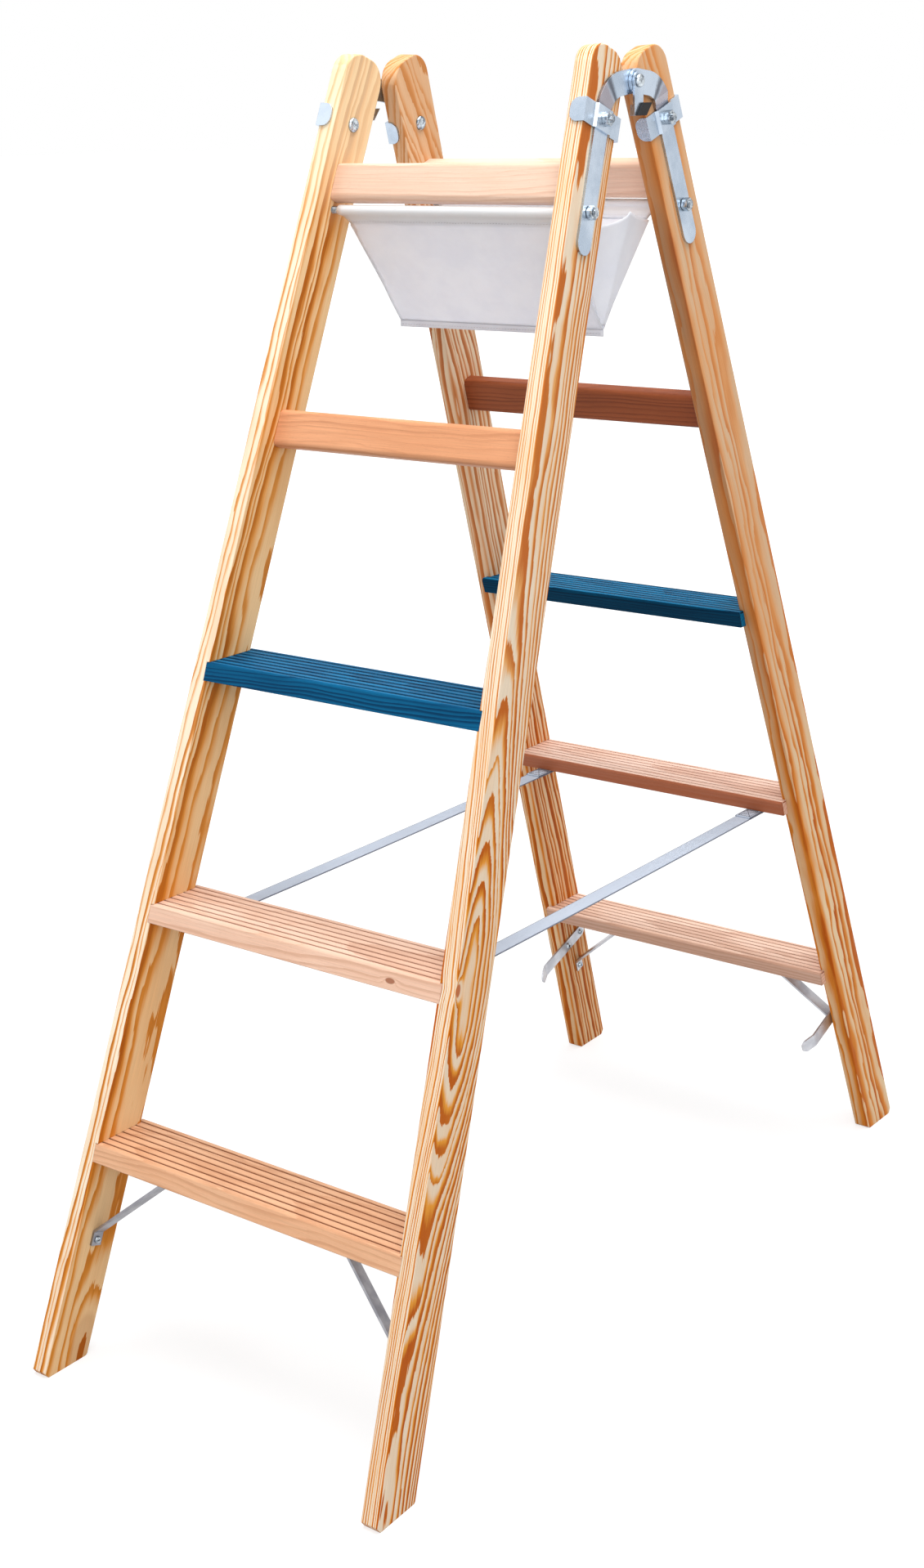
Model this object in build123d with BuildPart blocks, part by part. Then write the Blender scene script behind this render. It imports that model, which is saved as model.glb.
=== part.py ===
from build123d import *
import os
from math import cos, hypot, radians, sin, tan

os.makedirs("parts", exist_ok=True)

# Frame: +X along the steps, +Y from the front half to the rear half, +Z up, in millimetres.
# The origin is on the floor, midway between the four feet.

# Stance: lean of each half from upright, taper of the stiles, half width between them at the floor
lean = 20.0
taper = 3.06
foot_half_width = 231.0

# Stiles: length above the upper rung's level, section, rounded top, foot chamfers
stile_head = 138.0
stile_depth = 64.0
stile_thick = 21.0
stile_edge = 1.5
crown_radius = 25.0
foot_nose = 8.0
foot_heel = 3.0

# Steps: spacing up the slope, section, housing in the stiles, grooves
step_pitch = 280.0
step_count = 3
step_depth = 80.0
step_thick = 20.0
step_edge = 3.5
step_seat = 4.0
groove_count = 7
groove_inset = 7.0
groove_back = 10.0
groove_wide = 2.5
groove_deep = 1.6

# Rungs: middles below the next two levels of the step spacing, section, housing
rung_drop = 6.0
rung_wide = 42.0
rung_thick = 20.0
rung_edge = 6.0
rung_seat = 10.0

# Hinge line below the stile tops, arms and pivot rivets
pivot_drop = 20.0
arm_wide = 25.0
arm_thick = 3.0
arm_below = 44.0
arm_rise = 48.0
arm_turn = 64.0
joggle_run = 10.0
pin_radius = 4.0
pin_head_radius = 7.0
pin_head_high = 3.5
pin_foot_radius = 6.5
pin_foot_high = 2.5

# Clamp plates below the bends of the arms, and their bolts
clamp_below = 10.0
clamp_wide = 25.0
clamp_thick = 2.5
clamp_slope = 2.5
clamp_tab_outer = 16.0
clamp_tab_inner = 13.0
clamp_tab_flat = 5.0
bolt_radius = 4.0
bolt_head_radius = 8.2
bolt_head_high = 3.5
bolt_tail = 3.0
nut_flat = 13.0
nut_high = 6.5

# Tie rods that carry the bag, below the upper rungs
rod_below = 9.0
rod_radius = 4.0
rod_tail = 2.0

# Latch levers with grips
lever_wide = 17.0
lever_thick = 2.5
lever_eye = 10.0
lever_drop = 35.0
lever_tab_high = 11.0
lever_toe = 10.5
lever_toe_high = 13.0
grip_thick = 3.0
grip_lean = 11.0

# Braces under the lowest step: bend below it, leg on the stile, reach in from the stile, leg on the step
brace_wide = 15.0
brace_thick = 3.0
brace_drop = 94.4
brace_foot_leg = 17.0
brace_foot_screw = 10.0
brace_span = 95.0
brace_leg = 30.0
brace_leg_screw = 16.0

# Closing guides on the rear stiles, above the bends of the braces
guide_above = 43.0
guide_wide = 18.0
guide_thick = 2.5
guide_start = 6.0
guide_over = 48.0
guide_flare = 22.0
guide_flare_turn = 20.0
guide_screw_front = 16.0
guide_screw_back = 13.0

# Screws
screw_radius = 2.0
screw_length = 14.0
screw_head_radius = 4.5
screw_head_high = 2.6

# Webbing straps, measured in from the stiles, and the plates that hold them
strap_aside = 39.0
strap_wide = 22.0
strap_thick = 1.6
strap_fold = 76.0
strap_inset = 34.0
strap_tail = 14.0
plate_wide = 16.0
plate_thick = 2.0
plate_end = 6.0
plate_screw_gap = 6.0

# Tool bag
bag_thick = 1.2
bag_side_gap = 9.0
bag_shoulder_in = 9.0
bag_shoulder = 26.0
bag_shoulder_round = 25.0
bag_bottom_in = 1.0
bag_bead = 2.0
bag_seam = 6.5
gusset_thick = 1.0
gusset_inset = 2.0
gusset_bulge = 34.0
gusset_rise = 17.0

# Clearances: housings, bolt holes, screw holes, running fits, facing plates, soft pieces, folded steps
seat_clear = 0.1
bolt_clear = 0.15
screw_clear = 0.1
run_clear = 0.05
plate_clear = 0.3
touch_clear = 0.1
soft_clear = 0.4
fold_clear = 1.8

# Directions in the front half: depth from the climbing face, up the slope, up and out of a right stile
lean_c = cos(radians(lean))
lean_s = sin(radians(lean))
taper_c = cos(radians(taper))
taper_s = sin(radians(taper))
taper_t = tan(radians(taper))
across = Vector(0, lean_c, -lean_s)
along = Vector(-taper_s, taper_c * lean_s, taper_c * lean_c)
outward = Vector(taper_c, taper_s * lean_s, taper_s * lean_c)

# Places up the slope: rungs follow the step spacing, the hinge follows the stile tops
strap_level = step_count - 1
brace_level = strap_level - 1
lower_rung_up = (step_count + 1) * step_pitch - rung_drop
upper_rung_up = lower_rung_up + step_pitch
stile_length = upper_rung_up + rung_drop + stile_head
pivot_up = stile_length - pivot_drop
arm_bend_up = pivot_up - arm_rise
clamp_up = arm_bend_up - clamp_below
rod_up = upper_rung_up - rung_wide / 2 - rod_below
arm_low = rod_up - arm_below

# The hinge line clears the steps, which meet back to back when the ladder is folded
stile_mid = stile_depth / 2
pivot_depth = max(stile_depth, step_depth * lean_c) + fold_clear
foot_y = pivot_depth * lean_c + pivot_up * lean_s
pivot_z = pivot_up * lean_c - pivot_depth * lean_s
rod_y = stile_mid * lean_c + rod_up * lean_s - foot_y
rod_z = rod_up * lean_c - stile_mid * lean_s

stile_foot = Vector(foot_half_width, -foot_y, 0)
side_view = Plane(origin=(0, -foot_y, 0), x_dir=across, z_dir=(1, 0, 0))
slope_view = Plane(origin=Vector(0, -foot_y, 0) + across * stile_mid, x_dir=(1, 0, 0), z_dir=across * -1)
inner_face = Plane(origin=stile_foot, x_dir=across, z_dir=outward)


def half_width(up):
    return foot_half_width - up * taper_t


def stile_point(depth, up, out):
    return stile_foot + across * depth + along * (up / taper_c) + outward * out


def step_top(level):
    return level * step_pitch * lean_c


def step_under(level):
    return step_top(level) - step_thick


def face_y(z):
    return z * tan(radians(lean)) - foot_y


def step_half(level):
    return half_width(level * step_pitch) + step_seat


def rung_half(up):
    return half_width(up) + rung_seat


def step_corners(level):
    top = step_top(level)
    under = step_under(level)
    return [
        (face_y(under), under),
        (face_y(under) + step_depth, under),
        (face_y(top) + step_depth, top),
        (face_y(top), top),
    ]


def save(name, shape):
    shape.label = name
    export_step(shape, "parts/" + name + ".step")


def save_halves(name, shape):
    save("front_" + name, shape)
    save("rear_" + name, mirror(shape, about=Plane.XZ))


def save_sides(name, shape):
    save(name + "_right", shape)
    save(name + "_left", mirror(shape, about=Plane.YZ))


def save_four(name, shape):
    save_sides("front_" + name, shape)
    save_sides("rear_" + name, mirror(shape, about=Plane.XZ))


# Stiles: rounded top, foot sawn level with the floor, housings for steps and rungs
foot_waste = stile_depth


def stile(screw_places):
    with BuildPart() as piece:
        with BuildSketch(inner_face) as outline:
            with Locations((0, -foot_waste)):
                Rectangle(stile_depth, foot_waste + stile_length, align=Align.MIN)
            fillet(outline.vertices().group_by(Axis.Y)[-1], radius=crown_radius)
        extrude(amount=stile_thick)
        split(bisect_by=Plane.XY, keep=Keep.TOP)
        nose = piece.edges().group_by(Axis.Z)[0].filter_by(Axis.X).sort_by(Axis.Y)[0]
        chamfer(nose, length=foot_nose)
        heel = piece.edges().group_by(Axis.Z)[0].filter_by(Axis.X).sort_by(Axis.Y)[-1]
        chamfer(heel, length=foot_heel)
        rims = piece.faces().filter_by(inner_face).edges()
        fillet(rims.filter_by_position(Axis.Z, stile_depth, stile_length), radius=stile_edge)
        for level in (brace_level, strap_level, step_count):
            with BuildSketch(Plane.YZ.offset(step_half(level) + seat_clear)):
                with BuildLine():
                    Polyline(*step_corners(level), close=True)
                make_face()
                offset(amount=seat_clear, kind=Kind.INTERSECTION)
            extrude(amount=-stile_thick, mode=Mode.SUBTRACT)
        for up in (lower_rung_up, upper_rung_up):
            with BuildSketch(side_view.offset(rung_half(up) + seat_clear)):
                with Locations((stile_mid, up)):
                    RectangleRounded(rung_thick + 2 * seat_clear, rung_wide + 2 * seat_clear, rung_edge)
            extrude(amount=-stile_thick, mode=Mode.SUBTRACT)
        with BuildSketch(side_view):
            with Locations((stile_mid, rod_up)):
                Circle(rod_radius + bolt_clear)
        extrude(amount=foot_half_width, mode=Mode.SUBTRACT)
        with BuildSketch(inner_face):
            with Locations((stile_mid, clamp_up / taper_c)):
                Circle(bolt_radius + bolt_clear)
        extrude(amount=stile_thick, mode=Mode.SUBTRACT)
        with BuildSketch(inner_face):
            with Locations(*screw_places):
                Circle(screw_radius + screw_clear)
        extrude(amount=screw_length, mode=Mode.SUBTRACT)
    return piece.part


brace_top_up = (step_under(brace_level) + stile_mid * lean_s) / lean_c
brace_bend_up = brace_top_up - brace_drop
brace_screw_place = (stile_mid, (brace_bend_up - brace_foot_screw) / taper_c)
guide_up = brace_bend_up + guide_above
guide_screw_depths = (guide_screw_front, stile_depth - guide_screw_back)
guide_screw_places = [(depth, guide_up / taper_c) for depth in guide_screw_depths]
save_sides("front_stile", stile([brace_screw_place]))
save_sides("rear_stile", mirror(stile([brace_screw_place] + guide_screw_places), about=Plane.XZ))

# Steps: both long faces follow the slope, grooves run along the top
groove_pitch = (step_depth - groove_inset - groove_back) / (groove_count - 1)
brace_reach = half_width(brace_level * step_pitch) - brace_span
brace_leg_x = brace_reach - brace_leg_screw
brace_leg_y = face_y(step_under(brace_level)) + stile_mid / lean_c
brace_step_holes = [(side * brace_leg_x, brace_leg_y) for side in (-1, 1)]
strap_x = half_width(strap_level * step_pitch) - strap_aside
strap_y = face_y(step_under(strap_level)) + step_depth - strap_inset
plate_screw = strap_wide / 2 + plate_screw_gap
strap_step_holes = [(side * strap_x + end * plate_screw, strap_y) for side in (-1, 1) for end in (-1, 1)]


def step(level, screw_places):
    top = step_top(level)
    with BuildPart() as piece:
        with BuildSketch(Plane.YZ) as section:
            with BuildLine():
                Polyline(*step_corners(level), close=True)
            make_face()
            fillet(section.vertices().group_by(Axis.Y)[-1], radius=step_edge)
            grooves = [(face_y(top) + groove_inset + i * groove_pitch, top) for i in range(groove_count)]
            with Locations(*grooves):
                Rectangle(groove_wide, 2 * groove_deep, mode=Mode.SUBTRACT)
        extrude(amount=step_half(level), both=True)
        if screw_places:
            with BuildSketch(Plane.XY.offset(step_under(level))):
                with Locations(*screw_places):
                    Circle(screw_radius + screw_clear)
            extrude(amount=screw_length, mode=Mode.SUBTRACT)
    return piece.part


save_halves("step_low", step(brace_level, brace_step_holes))
save_halves("step_middle", step(strap_level, strap_step_holes))
save_halves("step_blue", step(step_count, []))


# Rungs: flat bars across the slope with rounded edges
def rung(up):
    with BuildPart() as piece:
        with BuildSketch(side_view):
            with Locations((stile_mid, up)):
                RectangleRounded(rung_thick, rung_wide, rung_edge - seat_clear)
        extrude(amount=rung_half(up), both=True)
    return piece.part


save_halves("rung_lower", rung(lower_rung_up))
save_halves("rung_upper", rung(upper_rung_up))

# Hinge arms: strap on the stile's outer face, bend into an upright plane, gooseneck to the pivot
turn_c = cos(radians(arm_turn))
turn_s = sin(radians(arm_turn))
neck_radius = (arm_rise * turn_s - (pivot_depth - stile_mid) * turn_c) / (1 - turn_c)
joggle_at = max(arm_bend_up, clamp_up + clamp_wide / 2 + clamp_slope) / taper_c
rear_lift = arm_thick + plate_clear


def eye_x(lift):
    return foot_half_width - joggle_at * taper_s + (stile_thick + touch_clear + lift) * taper_c


def hinge_arm(lift, eye_hole):
    near = foot_half_width - stile_length * taper_s
    joggle_end = joggle_at + joggle_run
    far = stile_length + arm_wide
    inside = [
        (0, touch_clear),
        (joggle_at, touch_clear),
        (joggle_end, touch_clear + lift + joggle_run * taper_t),
        (far, touch_clear + lift + (far - joggle_at) * taper_t),
    ]
    outside = [(at, out + arm_thick) for at, out in reversed(inside)]
    with BuildPart() as piece:
        with BuildSketch(side_view.offset(near)):
            with BuildLine():
                run = Line((stile_mid, arm_low + arm_wide / 2), (stile_mid, arm_bend_up))
                neck = JernArc(start=run @ 1, tangent=run % 1, radius=neck_radius, arc_size=-arm_turn)
                Line(neck @ 1, (pivot_depth, pivot_up))
                offset(amount=arm_wide / 2)
            make_face()
        extrude(amount=foot_half_width)
        with BuildSketch(Plane(origin=stile_point(0, 0, stile_thick), x_dir=along, z_dir=across)):
            with BuildLine():
                Polyline(*inside, *outside, close=True)
            make_face()
        extrude(amount=2 * pivot_depth, both=True, mode=Mode.INTERSECT)
        with BuildSketch(side_view.offset(near)):
            with Locations((stile_mid, rod_up)):
                Circle(rod_radius + bolt_clear)
            with Locations((pivot_depth, pivot_up)):
                Circle(eye_hole)
        extrude(amount=foot_half_width, mode=Mode.SUBTRACT)
        with BuildSketch(inner_face):
            with Locations((stile_mid, clamp_up / taper_c)):
                Circle(bolt_radius + bolt_clear)
        extrude(amount=2 * stile_thick, mode=Mode.SUBTRACT)
    return piece.part


save_sides("front_hinge_arm", hinge_arm(0, pin_radius + bolt_clear))
save_sides("rear_hinge_arm", mirror(hinge_arm(rear_lift, pin_radius + run_clear), about=Plane.XZ))

# Clamp plates: a band round the outer face, stepped over the arm, with a tab on each narrow face
clamp_section = Plane(origin=stile_point(0, clamp_up, 0), x_dir=outward, z_dir=along)
clamp_low = stile_thick + touch_clear
clamp_top = clamp_low + arm_thick + touch_clear
clamp_rise = arm_wide / 2 + plate_clear
with BuildPart() as clamp:
    with BuildSketch(clamp_section):
        with BuildLine():
            Polyline(
                (stile_thick - clamp_tab_outer, -touch_clear),
                (clamp_low, -touch_clear),
                (clamp_low, stile_mid - clamp_rise - clamp_slope),
                (clamp_top, stile_mid - clamp_rise),
                (clamp_top, stile_mid + clamp_rise),
                (clamp_low, stile_mid + clamp_rise + clamp_slope),
                (clamp_low, stile_depth + touch_clear),
                (stile_thick - clamp_tab_inner, stile_depth + touch_clear),
            )
            offset(amount=clamp_thick, side=Side.RIGHT, kind=Kind.INTERSECTION)
        make_face()
    extrude(amount=clamp_wide / 2, both=True)
    tab_corners = clamp.edges().filter_by(Axis((0, 0, 0), tuple(across)))
    tab_corners = tab_corners.filter_by(lambda e: abs(e.length - clamp_thick) < touch_clear)
    fillet(tab_corners, radius=(clamp_wide - clamp_tab_flat) / 2)
    with BuildSketch(inner_face):
        with Locations((stile_mid, clamp_up / taper_c)):
            Circle(bolt_radius + bolt_clear)
    extrude(amount=2 * stile_thick, mode=Mode.SUBTRACT)
save_four("clamp", clamp.part)

# Clamp bolts: round heads on the inner faces, nuts outside on the clamp plates
clamp_out = clamp_top + clamp_thick + touch_clear
bolt_seat = Plane(origin=stile_point(stile_mid, clamp_up, 0), x_dir=across, z_dir=outward)
with BuildPart() as clamp_bolts:
    with BuildSketch(bolt_seat):
        Circle(bolt_head_radius)
    extrude(amount=-bolt_head_high)
    head_rim = clamp_bolts.edges().sort_by(Axis((0, 0, 0), tuple(outward)))[0]
    fillet(head_rim, radius=bolt_head_high - touch_clear)
    with BuildSketch(bolt_seat):
        Circle(bolt_radius)
    extrude(amount=clamp_out + nut_high + bolt_tail)
    mirror(about=Plane.YZ)
save_halves("clamp_bolts", clamp_bolts.part)

with BuildPart() as clamp_nuts:
    with BuildSketch(bolt_seat.offset(clamp_out)):
        RegularPolygon(radius=nut_flat / 2, side_count=6, major_radius=False)
        Circle(bolt_radius + screw_clear, mode=Mode.SUBTRACT)
    extrude(amount=nut_high)
    mirror(about=Plane.YZ)
save_halves("clamp_nuts", clamp_nuts.part)

# Tie rods with a nut at each end, outside on the hinge arms
rod_nut_x = half_width(rod_up) + (stile_thick + touch_clear + arm_thick) / taper_c + nut_flat * taper_t
rod_place = Plane(origin=side_view.from_local_coords((stile_mid, rod_up, 0)), x_dir=across, z_dir=(1, 0, 0))
with BuildPart() as rod:
    with BuildSketch(rod_place):
        Circle(rod_radius)
    extrude(amount=rod_nut_x + nut_high + rod_tail, both=True)
save_halves("tie_rod", rod.part)

with BuildPart() as rod_nuts:
    with BuildSketch(rod_place.offset(rod_nut_x)):
        RegularPolygon(radius=nut_flat / 2, side_count=6, major_radius=False)
        Circle(rod_radius + screw_clear, mode=Mode.SUBTRACT)
    extrude(amount=nut_high)
    mirror(about=Plane.YZ)
save_halves("rod_nuts", rod_nuts.part)

# Latch levers: hang outside the hinge arms, with a hooked tab and a grip at the bottom
lever_x = eye_x(rear_lift) + arm_thick * taper_c + plate_clear
lever_place = Plane(origin=(lever_x, 0, pivot_z), x_dir=(0, 1, 0), z_dir=(1, 0, 0))
lever_half = lever_wide / 2
lever_tab_reach = arm_thick + plate_clear / 2
toe_low = -lever_drop
toe_top = toe_low + lever_toe_high
with BuildPart() as lever:
    with BuildSketch(lever_place):
        Circle(lever_eye)
        with BuildLine():
            Polyline(
                (-lever_half, 0),
                (-lever_half, toe_low),
                (lever_toe, toe_low),
                (lever_toe + grip_lean, toe_top),
                (lever_half, toe_top),
                (lever_half, 0),
                close=True,
            )
        make_face()
        Circle(pin_radius + run_clear, mode=Mode.SUBTRACT)
    extrude(amount=lever_thick)
    with BuildSketch(lever_place.offset(lever_thick)):
        with Locations((-lever_half, toe_low)):
            Rectangle(lever_thick, lever_tab_high, align=(Align.MIN, Align.MIN))
    extrude(amount=-lever_thick - lever_tab_reach)
save_sides("latch_lever", lever.part)

with BuildPart() as grip:
    with BuildSketch(lever_place.offset(lever_thick + touch_clear)):
        with BuildLine():
            Polyline(
                (-lever_half + lever_thick, toe_low),
                (lever_toe, toe_low),
                (lever_toe + grip_lean, toe_top),
                (-lever_half + lever_thick + grip_lean, toe_top),
                close=True,
            )
        make_face()
    extrude(amount=grip_thick)
save_sides("latch_grip", grip.part)

# Pivot rivets through both arms and the lever
pin_inside = eye_x(0) - touch_clear
pin_outside = lever_x + lever_thick + plate_clear
pin_place = Plane(origin=(pin_inside, 0, pivot_z), x_dir=(0, 1, 0), z_dir=(1, 0, 0))
with BuildPart() as pins:
    with BuildSketch(pin_place):
        Circle(pin_foot_radius)
    extrude(amount=-pin_foot_high)
    with BuildSketch(pin_place):
        Circle(pin_radius)
    extrude(amount=pin_outside - pin_inside)
    with BuildSketch(pin_place.offset(pin_outside - pin_inside)):
        Circle(pin_head_radius)
    extrude(amount=pin_head_high)
    fillet(pins.edges().sort_by(Axis.X)[-1], radius=pin_head_high - touch_clear)
    mirror(about=Plane.YZ)
save("pivot_rivets", pins.part)


# Screws: round heads, seated on plates at the given distance from the wood
def screws(places, plate):
    with BuildPart() as piece:
        for place in places:
            with BuildSketch(place.offset(-plate)):
                Circle(screw_head_radius)
            head = extrude(amount=-screw_head_high)
            dome = head.edges().filter_by(GeomType.CIRCLE).sort_by(Axis(place.origin, place.z_dir))[0]
            fillet(dome, radius=screw_head_high - 2 * touch_clear)
            with BuildSketch(place.offset(-plate)):
                Circle(screw_radius)
            extrude(amount=plate + screw_length - screw_clear)
        mirror(about=Plane.YZ)
    return piece.part


# Braces: leg on the stile, slanting bar, level leg under the lowest step
brace_low = brace_bend_up - brace_foot_leg
brace_foot = half_width(brace_low) - touch_clear
brace_knee = half_width(brace_bend_up) - touch_clear
brace_seat = step_under(brace_level) - touch_clear
with BuildPart() as brace:
    with BuildSketch(slope_view):
        with BuildLine():
            Polyline(
                (brace_foot, brace_low),
                (brace_knee, brace_bend_up),
                (brace_reach - brace_thick, brace_top_up),
            )
            offset(amount=brace_thick, side=Side.LEFT, kind=Kind.INTERSECTION)
        make_face()
    extrude(amount=brace_wide / 2, both=True)
    split(bisect_by=Plane.XY.offset(brace_seat), keep=Keep.BOTTOM)
    with BuildSketch(Plane.XY.offset(brace_seat)):
        with Locations((brace_reach + brace_thick, brace_leg_y)):
            Rectangle(brace_leg + brace_thick, brace_wide, align=(Align.MAX, Align.CENTER))
    extrude(amount=-brace_thick)
    with BuildSketch(inner_face):
        with Locations(brace_screw_place):
            Circle(screw_radius + screw_clear)
    extrude(amount=-2 * brace_thick, mode=Mode.SUBTRACT)
    with BuildSketch(Plane.XY.offset(brace_seat)):
        with Locations((brace_leg_x, brace_leg_y)):
            Circle(screw_radius + screw_clear)
    extrude(amount=-2 * brace_thick, mode=Mode.SUBTRACT)
save_four("brace", brace.part)

stile_seat = inner_face.from_local_coords((*brace_screw_place, 0))
stile_screw = Plane(origin=stile_seat, x_dir=across, z_dir=outward)
step_seat_point = (brace_leg_x, brace_leg_y, step_under(brace_level))
step_screw = Plane(origin=step_seat_point, x_dir=(1, 0, 0), z_dir=(0, 0, 1))
save_halves("brace_screws", screws([stile_screw, step_screw], brace_thick + 2 * touch_clear))

# Closing guides: flat bars on the inner faces of the rear stiles with flared, rounded ends
guide_section = Plane(origin=stile_point(0, guide_up, 0), x_dir=outward, z_dir=along)
flare_in = guide_flare * sin(radians(guide_flare_turn))
flare_on = guide_flare * cos(radians(guide_flare_turn))
guide_bend = stile_depth + guide_over
guide_end = guide_bend + flare_on
with BuildPart() as guide:
    with BuildSketch(guide_section):
        with BuildLine():
            Polyline(
                (-plate_clear, guide_start),
                (-plate_clear, guide_bend),
                (-plate_clear - flare_in, guide_end),
            )
            offset(amount=guide_thick, side=Side.LEFT, kind=Kind.INTERSECTION)
        make_face()
    extrude(amount=guide_wide / 2, both=True)
    with BuildSketch(inner_face):
        with Locations(((guide_start + guide_end) / 2, guide_up / taper_c)):
            SlotOverall(guide_end - guide_start, guide_wide - touch_clear)
    extrude(amount=-2 * guide_flare, mode=Mode.INTERSECT)
    with BuildSketch(inner_face):
        with Locations(*guide_screw_places):
            Circle(screw_radius + screw_clear)
    extrude(amount=-2 * guide_flare, mode=Mode.SUBTRACT)
save_sides("closing_guide", mirror(guide.part, about=Plane.XZ))

guide_seats = []
for place in guide_screw_places:
    guide_seats.append(Plane(origin=inner_face.from_local_coords((*place, 0)), x_dir=across, z_dir=outward))
guide_screw_group = screws(guide_seats, guide_thick + plate_clear + touch_clear)
save("guide_screws", mirror(guide_screw_group, about=Plane.XZ))

# Webbing straps between the middle steps, each end folded double and held by a plate with two screws
fold_top = step_under(strap_level) - soft_clear
strap_top = fold_top - strap_thick
plate_top = strap_top - strap_thick - soft_clear
strap_end = strap_tail - strap_y
with BuildPart() as strap:
    with BuildSketch(Plane.XY.offset(strap_top)):
        with Locations((strap_x, 0)):
            Rectangle(strap_wide, 2 * strap_end)
    extrude(amount=-strap_thick)
    with BuildSketch(Plane.XY.offset(fold_top)):
        for side in (-1, 1):
            with Locations((strap_x, side * (strap_end - strap_fold / 2))):
                Rectangle(strap_wide, strap_fold)
    extrude(amount=-strap_thick)
save_sides("strap", strap.part)

with BuildPart() as plates:
    with BuildSketch(Plane.XY.offset(plate_top)):
        with Locations((strap_x, strap_y)):
            RectangleRounded(2 * (plate_screw + plate_end), plate_wide, plate_wide / 4)
        with Locations((strap_x - plate_screw, strap_y), (strap_x + plate_screw, strap_y)):
            Circle(screw_radius + screw_clear, mode=Mode.SUBTRACT)
    extrude(amount=-plate_thick)
    mirror(about=Plane.YZ)
save_halves("strap_plates", plates.part)

strap_seats = []
for end in (-1, 1):
    seat = (strap_x + end * plate_screw, strap_y, step_under(strap_level))
    strap_seats.append(Plane(origin=seat, x_dir=(1, 0, 0), z_dir=(0, 0, 1)))
strap_stack = step_under(strap_level) - plate_top + plate_thick + touch_clear
save_halves("strap_screws", screws(strap_seats, strap_stack))

# Tool bag: two panels hung by hems on the tie rods, meeting in a crease under the hinge line
crease_z = 2 * rod_z - pivot_z
bag_long = hypot(rod_y, rod_z - crease_z)
bag_down = Vector(0, -rod_y, crease_z - rod_z) / bag_long
bag_inward = Vector(0, -bag_down.Z, bag_down.Y)
rod_point = Vector(0, rod_y, rod_z)
hem_hole = rod_radius + soft_clear
hem_radius = hem_hole + bag_thick
bag_top_half = half_width(rod_up) - bag_side_gap
bag_shoulder_half = bag_top_half - bag_shoulder_in
bag_bottom_half = bag_shoulder_half - bag_bottom_in
panel_view = Plane(origin=rod_point, x_dir=(1, 0, 0), z_dir=(0, bag_down.Z, -bag_down.Y))


def yz(point):
    return (point.Y, point.Z)


def bag_panel(length, seam):
    skin = bag_inward * (bag_thick / 2)
    end = rod_point + bag_down * length
    with BuildPart() as piece:
        with BuildSketch(Plane.YZ):
            with Locations(yz(rod_point)):
                Circle(hem_radius)
            if seam:
                with Locations((0, crease_z)):
                    Circle(bag_bead)
                    Rectangle(2 * bag_thick, seam, align=(Align.CENTER, Align.MAX))
            with BuildLine():
                Polyline(
                    yz(rod_point + skin), yz(end + skin), yz(end - skin), yz(rod_point - skin), close=True
                )
            make_face()
            with Locations(yz(rod_point)):
                Circle(hem_hole, mode=Mode.SUBTRACT)
        extrude(amount=bag_top_half, both=True)
        with BuildSketch(panel_view):
            with BuildLine():
                head = Polyline((0, hem_radius), (bag_top_half, hem_radius), (bag_top_half, -hem_radius))
                flank = FilletPolyline(
                    head @ 1,
                    (bag_shoulder_half, -bag_shoulder),
                    (bag_bottom_half, -bag_long - bag_seam),
                    radius=bag_shoulder_round,
                )
                Line(flank @ 1, (0, -bag_long - bag_seam))
                mirror(about=Plane.YZ)
            make_face()
        extrude(amount=bag_long, both=True, mode=Mode.INTERSECT)
    return piece.part


save("bag_front_panel", bag_panel(bag_long, bag_seam))
save("bag_rear_panel", mirror(bag_panel(bag_long - bag_bead - bag_thick, 0), about=Plane.XZ))


# Bag gussets: two leaves at each end that meet in an upright fold
gusset_off = bag_thick / 2 + soft_clear
gusset_low = crease_z + (bag_bead + gusset_off) * bag_long / abs(rod_y)
leaf_top = rod_point + bag_down * bag_shoulder + bag_inward * gusset_off
leaf_top = leaf_top + Vector(bag_shoulder_half - gusset_inset, 0, 0)
leaf_low = Vector(bag_bottom_half - gusset_inset, 0, gusset_low)
leaf_fold = Vector(bag_shoulder_half - gusset_inset + gusset_bulge, 0, leaf_top.Z + gusset_rise)
leaf_edge = leaf_low - leaf_top
leaf_view = Plane(origin=leaf_top, x_dir=leaf_edge, z_dir=(leaf_fold - leaf_top).cross(leaf_edge))
leaf_corners = [leaf_view.to_local_coords(point) for point in (leaf_top, leaf_low, leaf_fold)]
with BuildPart() as gusset:
    with BuildSketch(leaf_view):
        with BuildLine():
            Polyline(*[(point.X, point.Y) for point in leaf_corners], close=True)
        make_face()
    extrude(amount=gusset_thick)
    mirror(about=Plane.XZ)
save_sides("bag_gusset", gusset.part)
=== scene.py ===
import itertools
import math

import bmesh
import bpy
import numpy as np
from mathutils import Matrix, Vector


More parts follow.
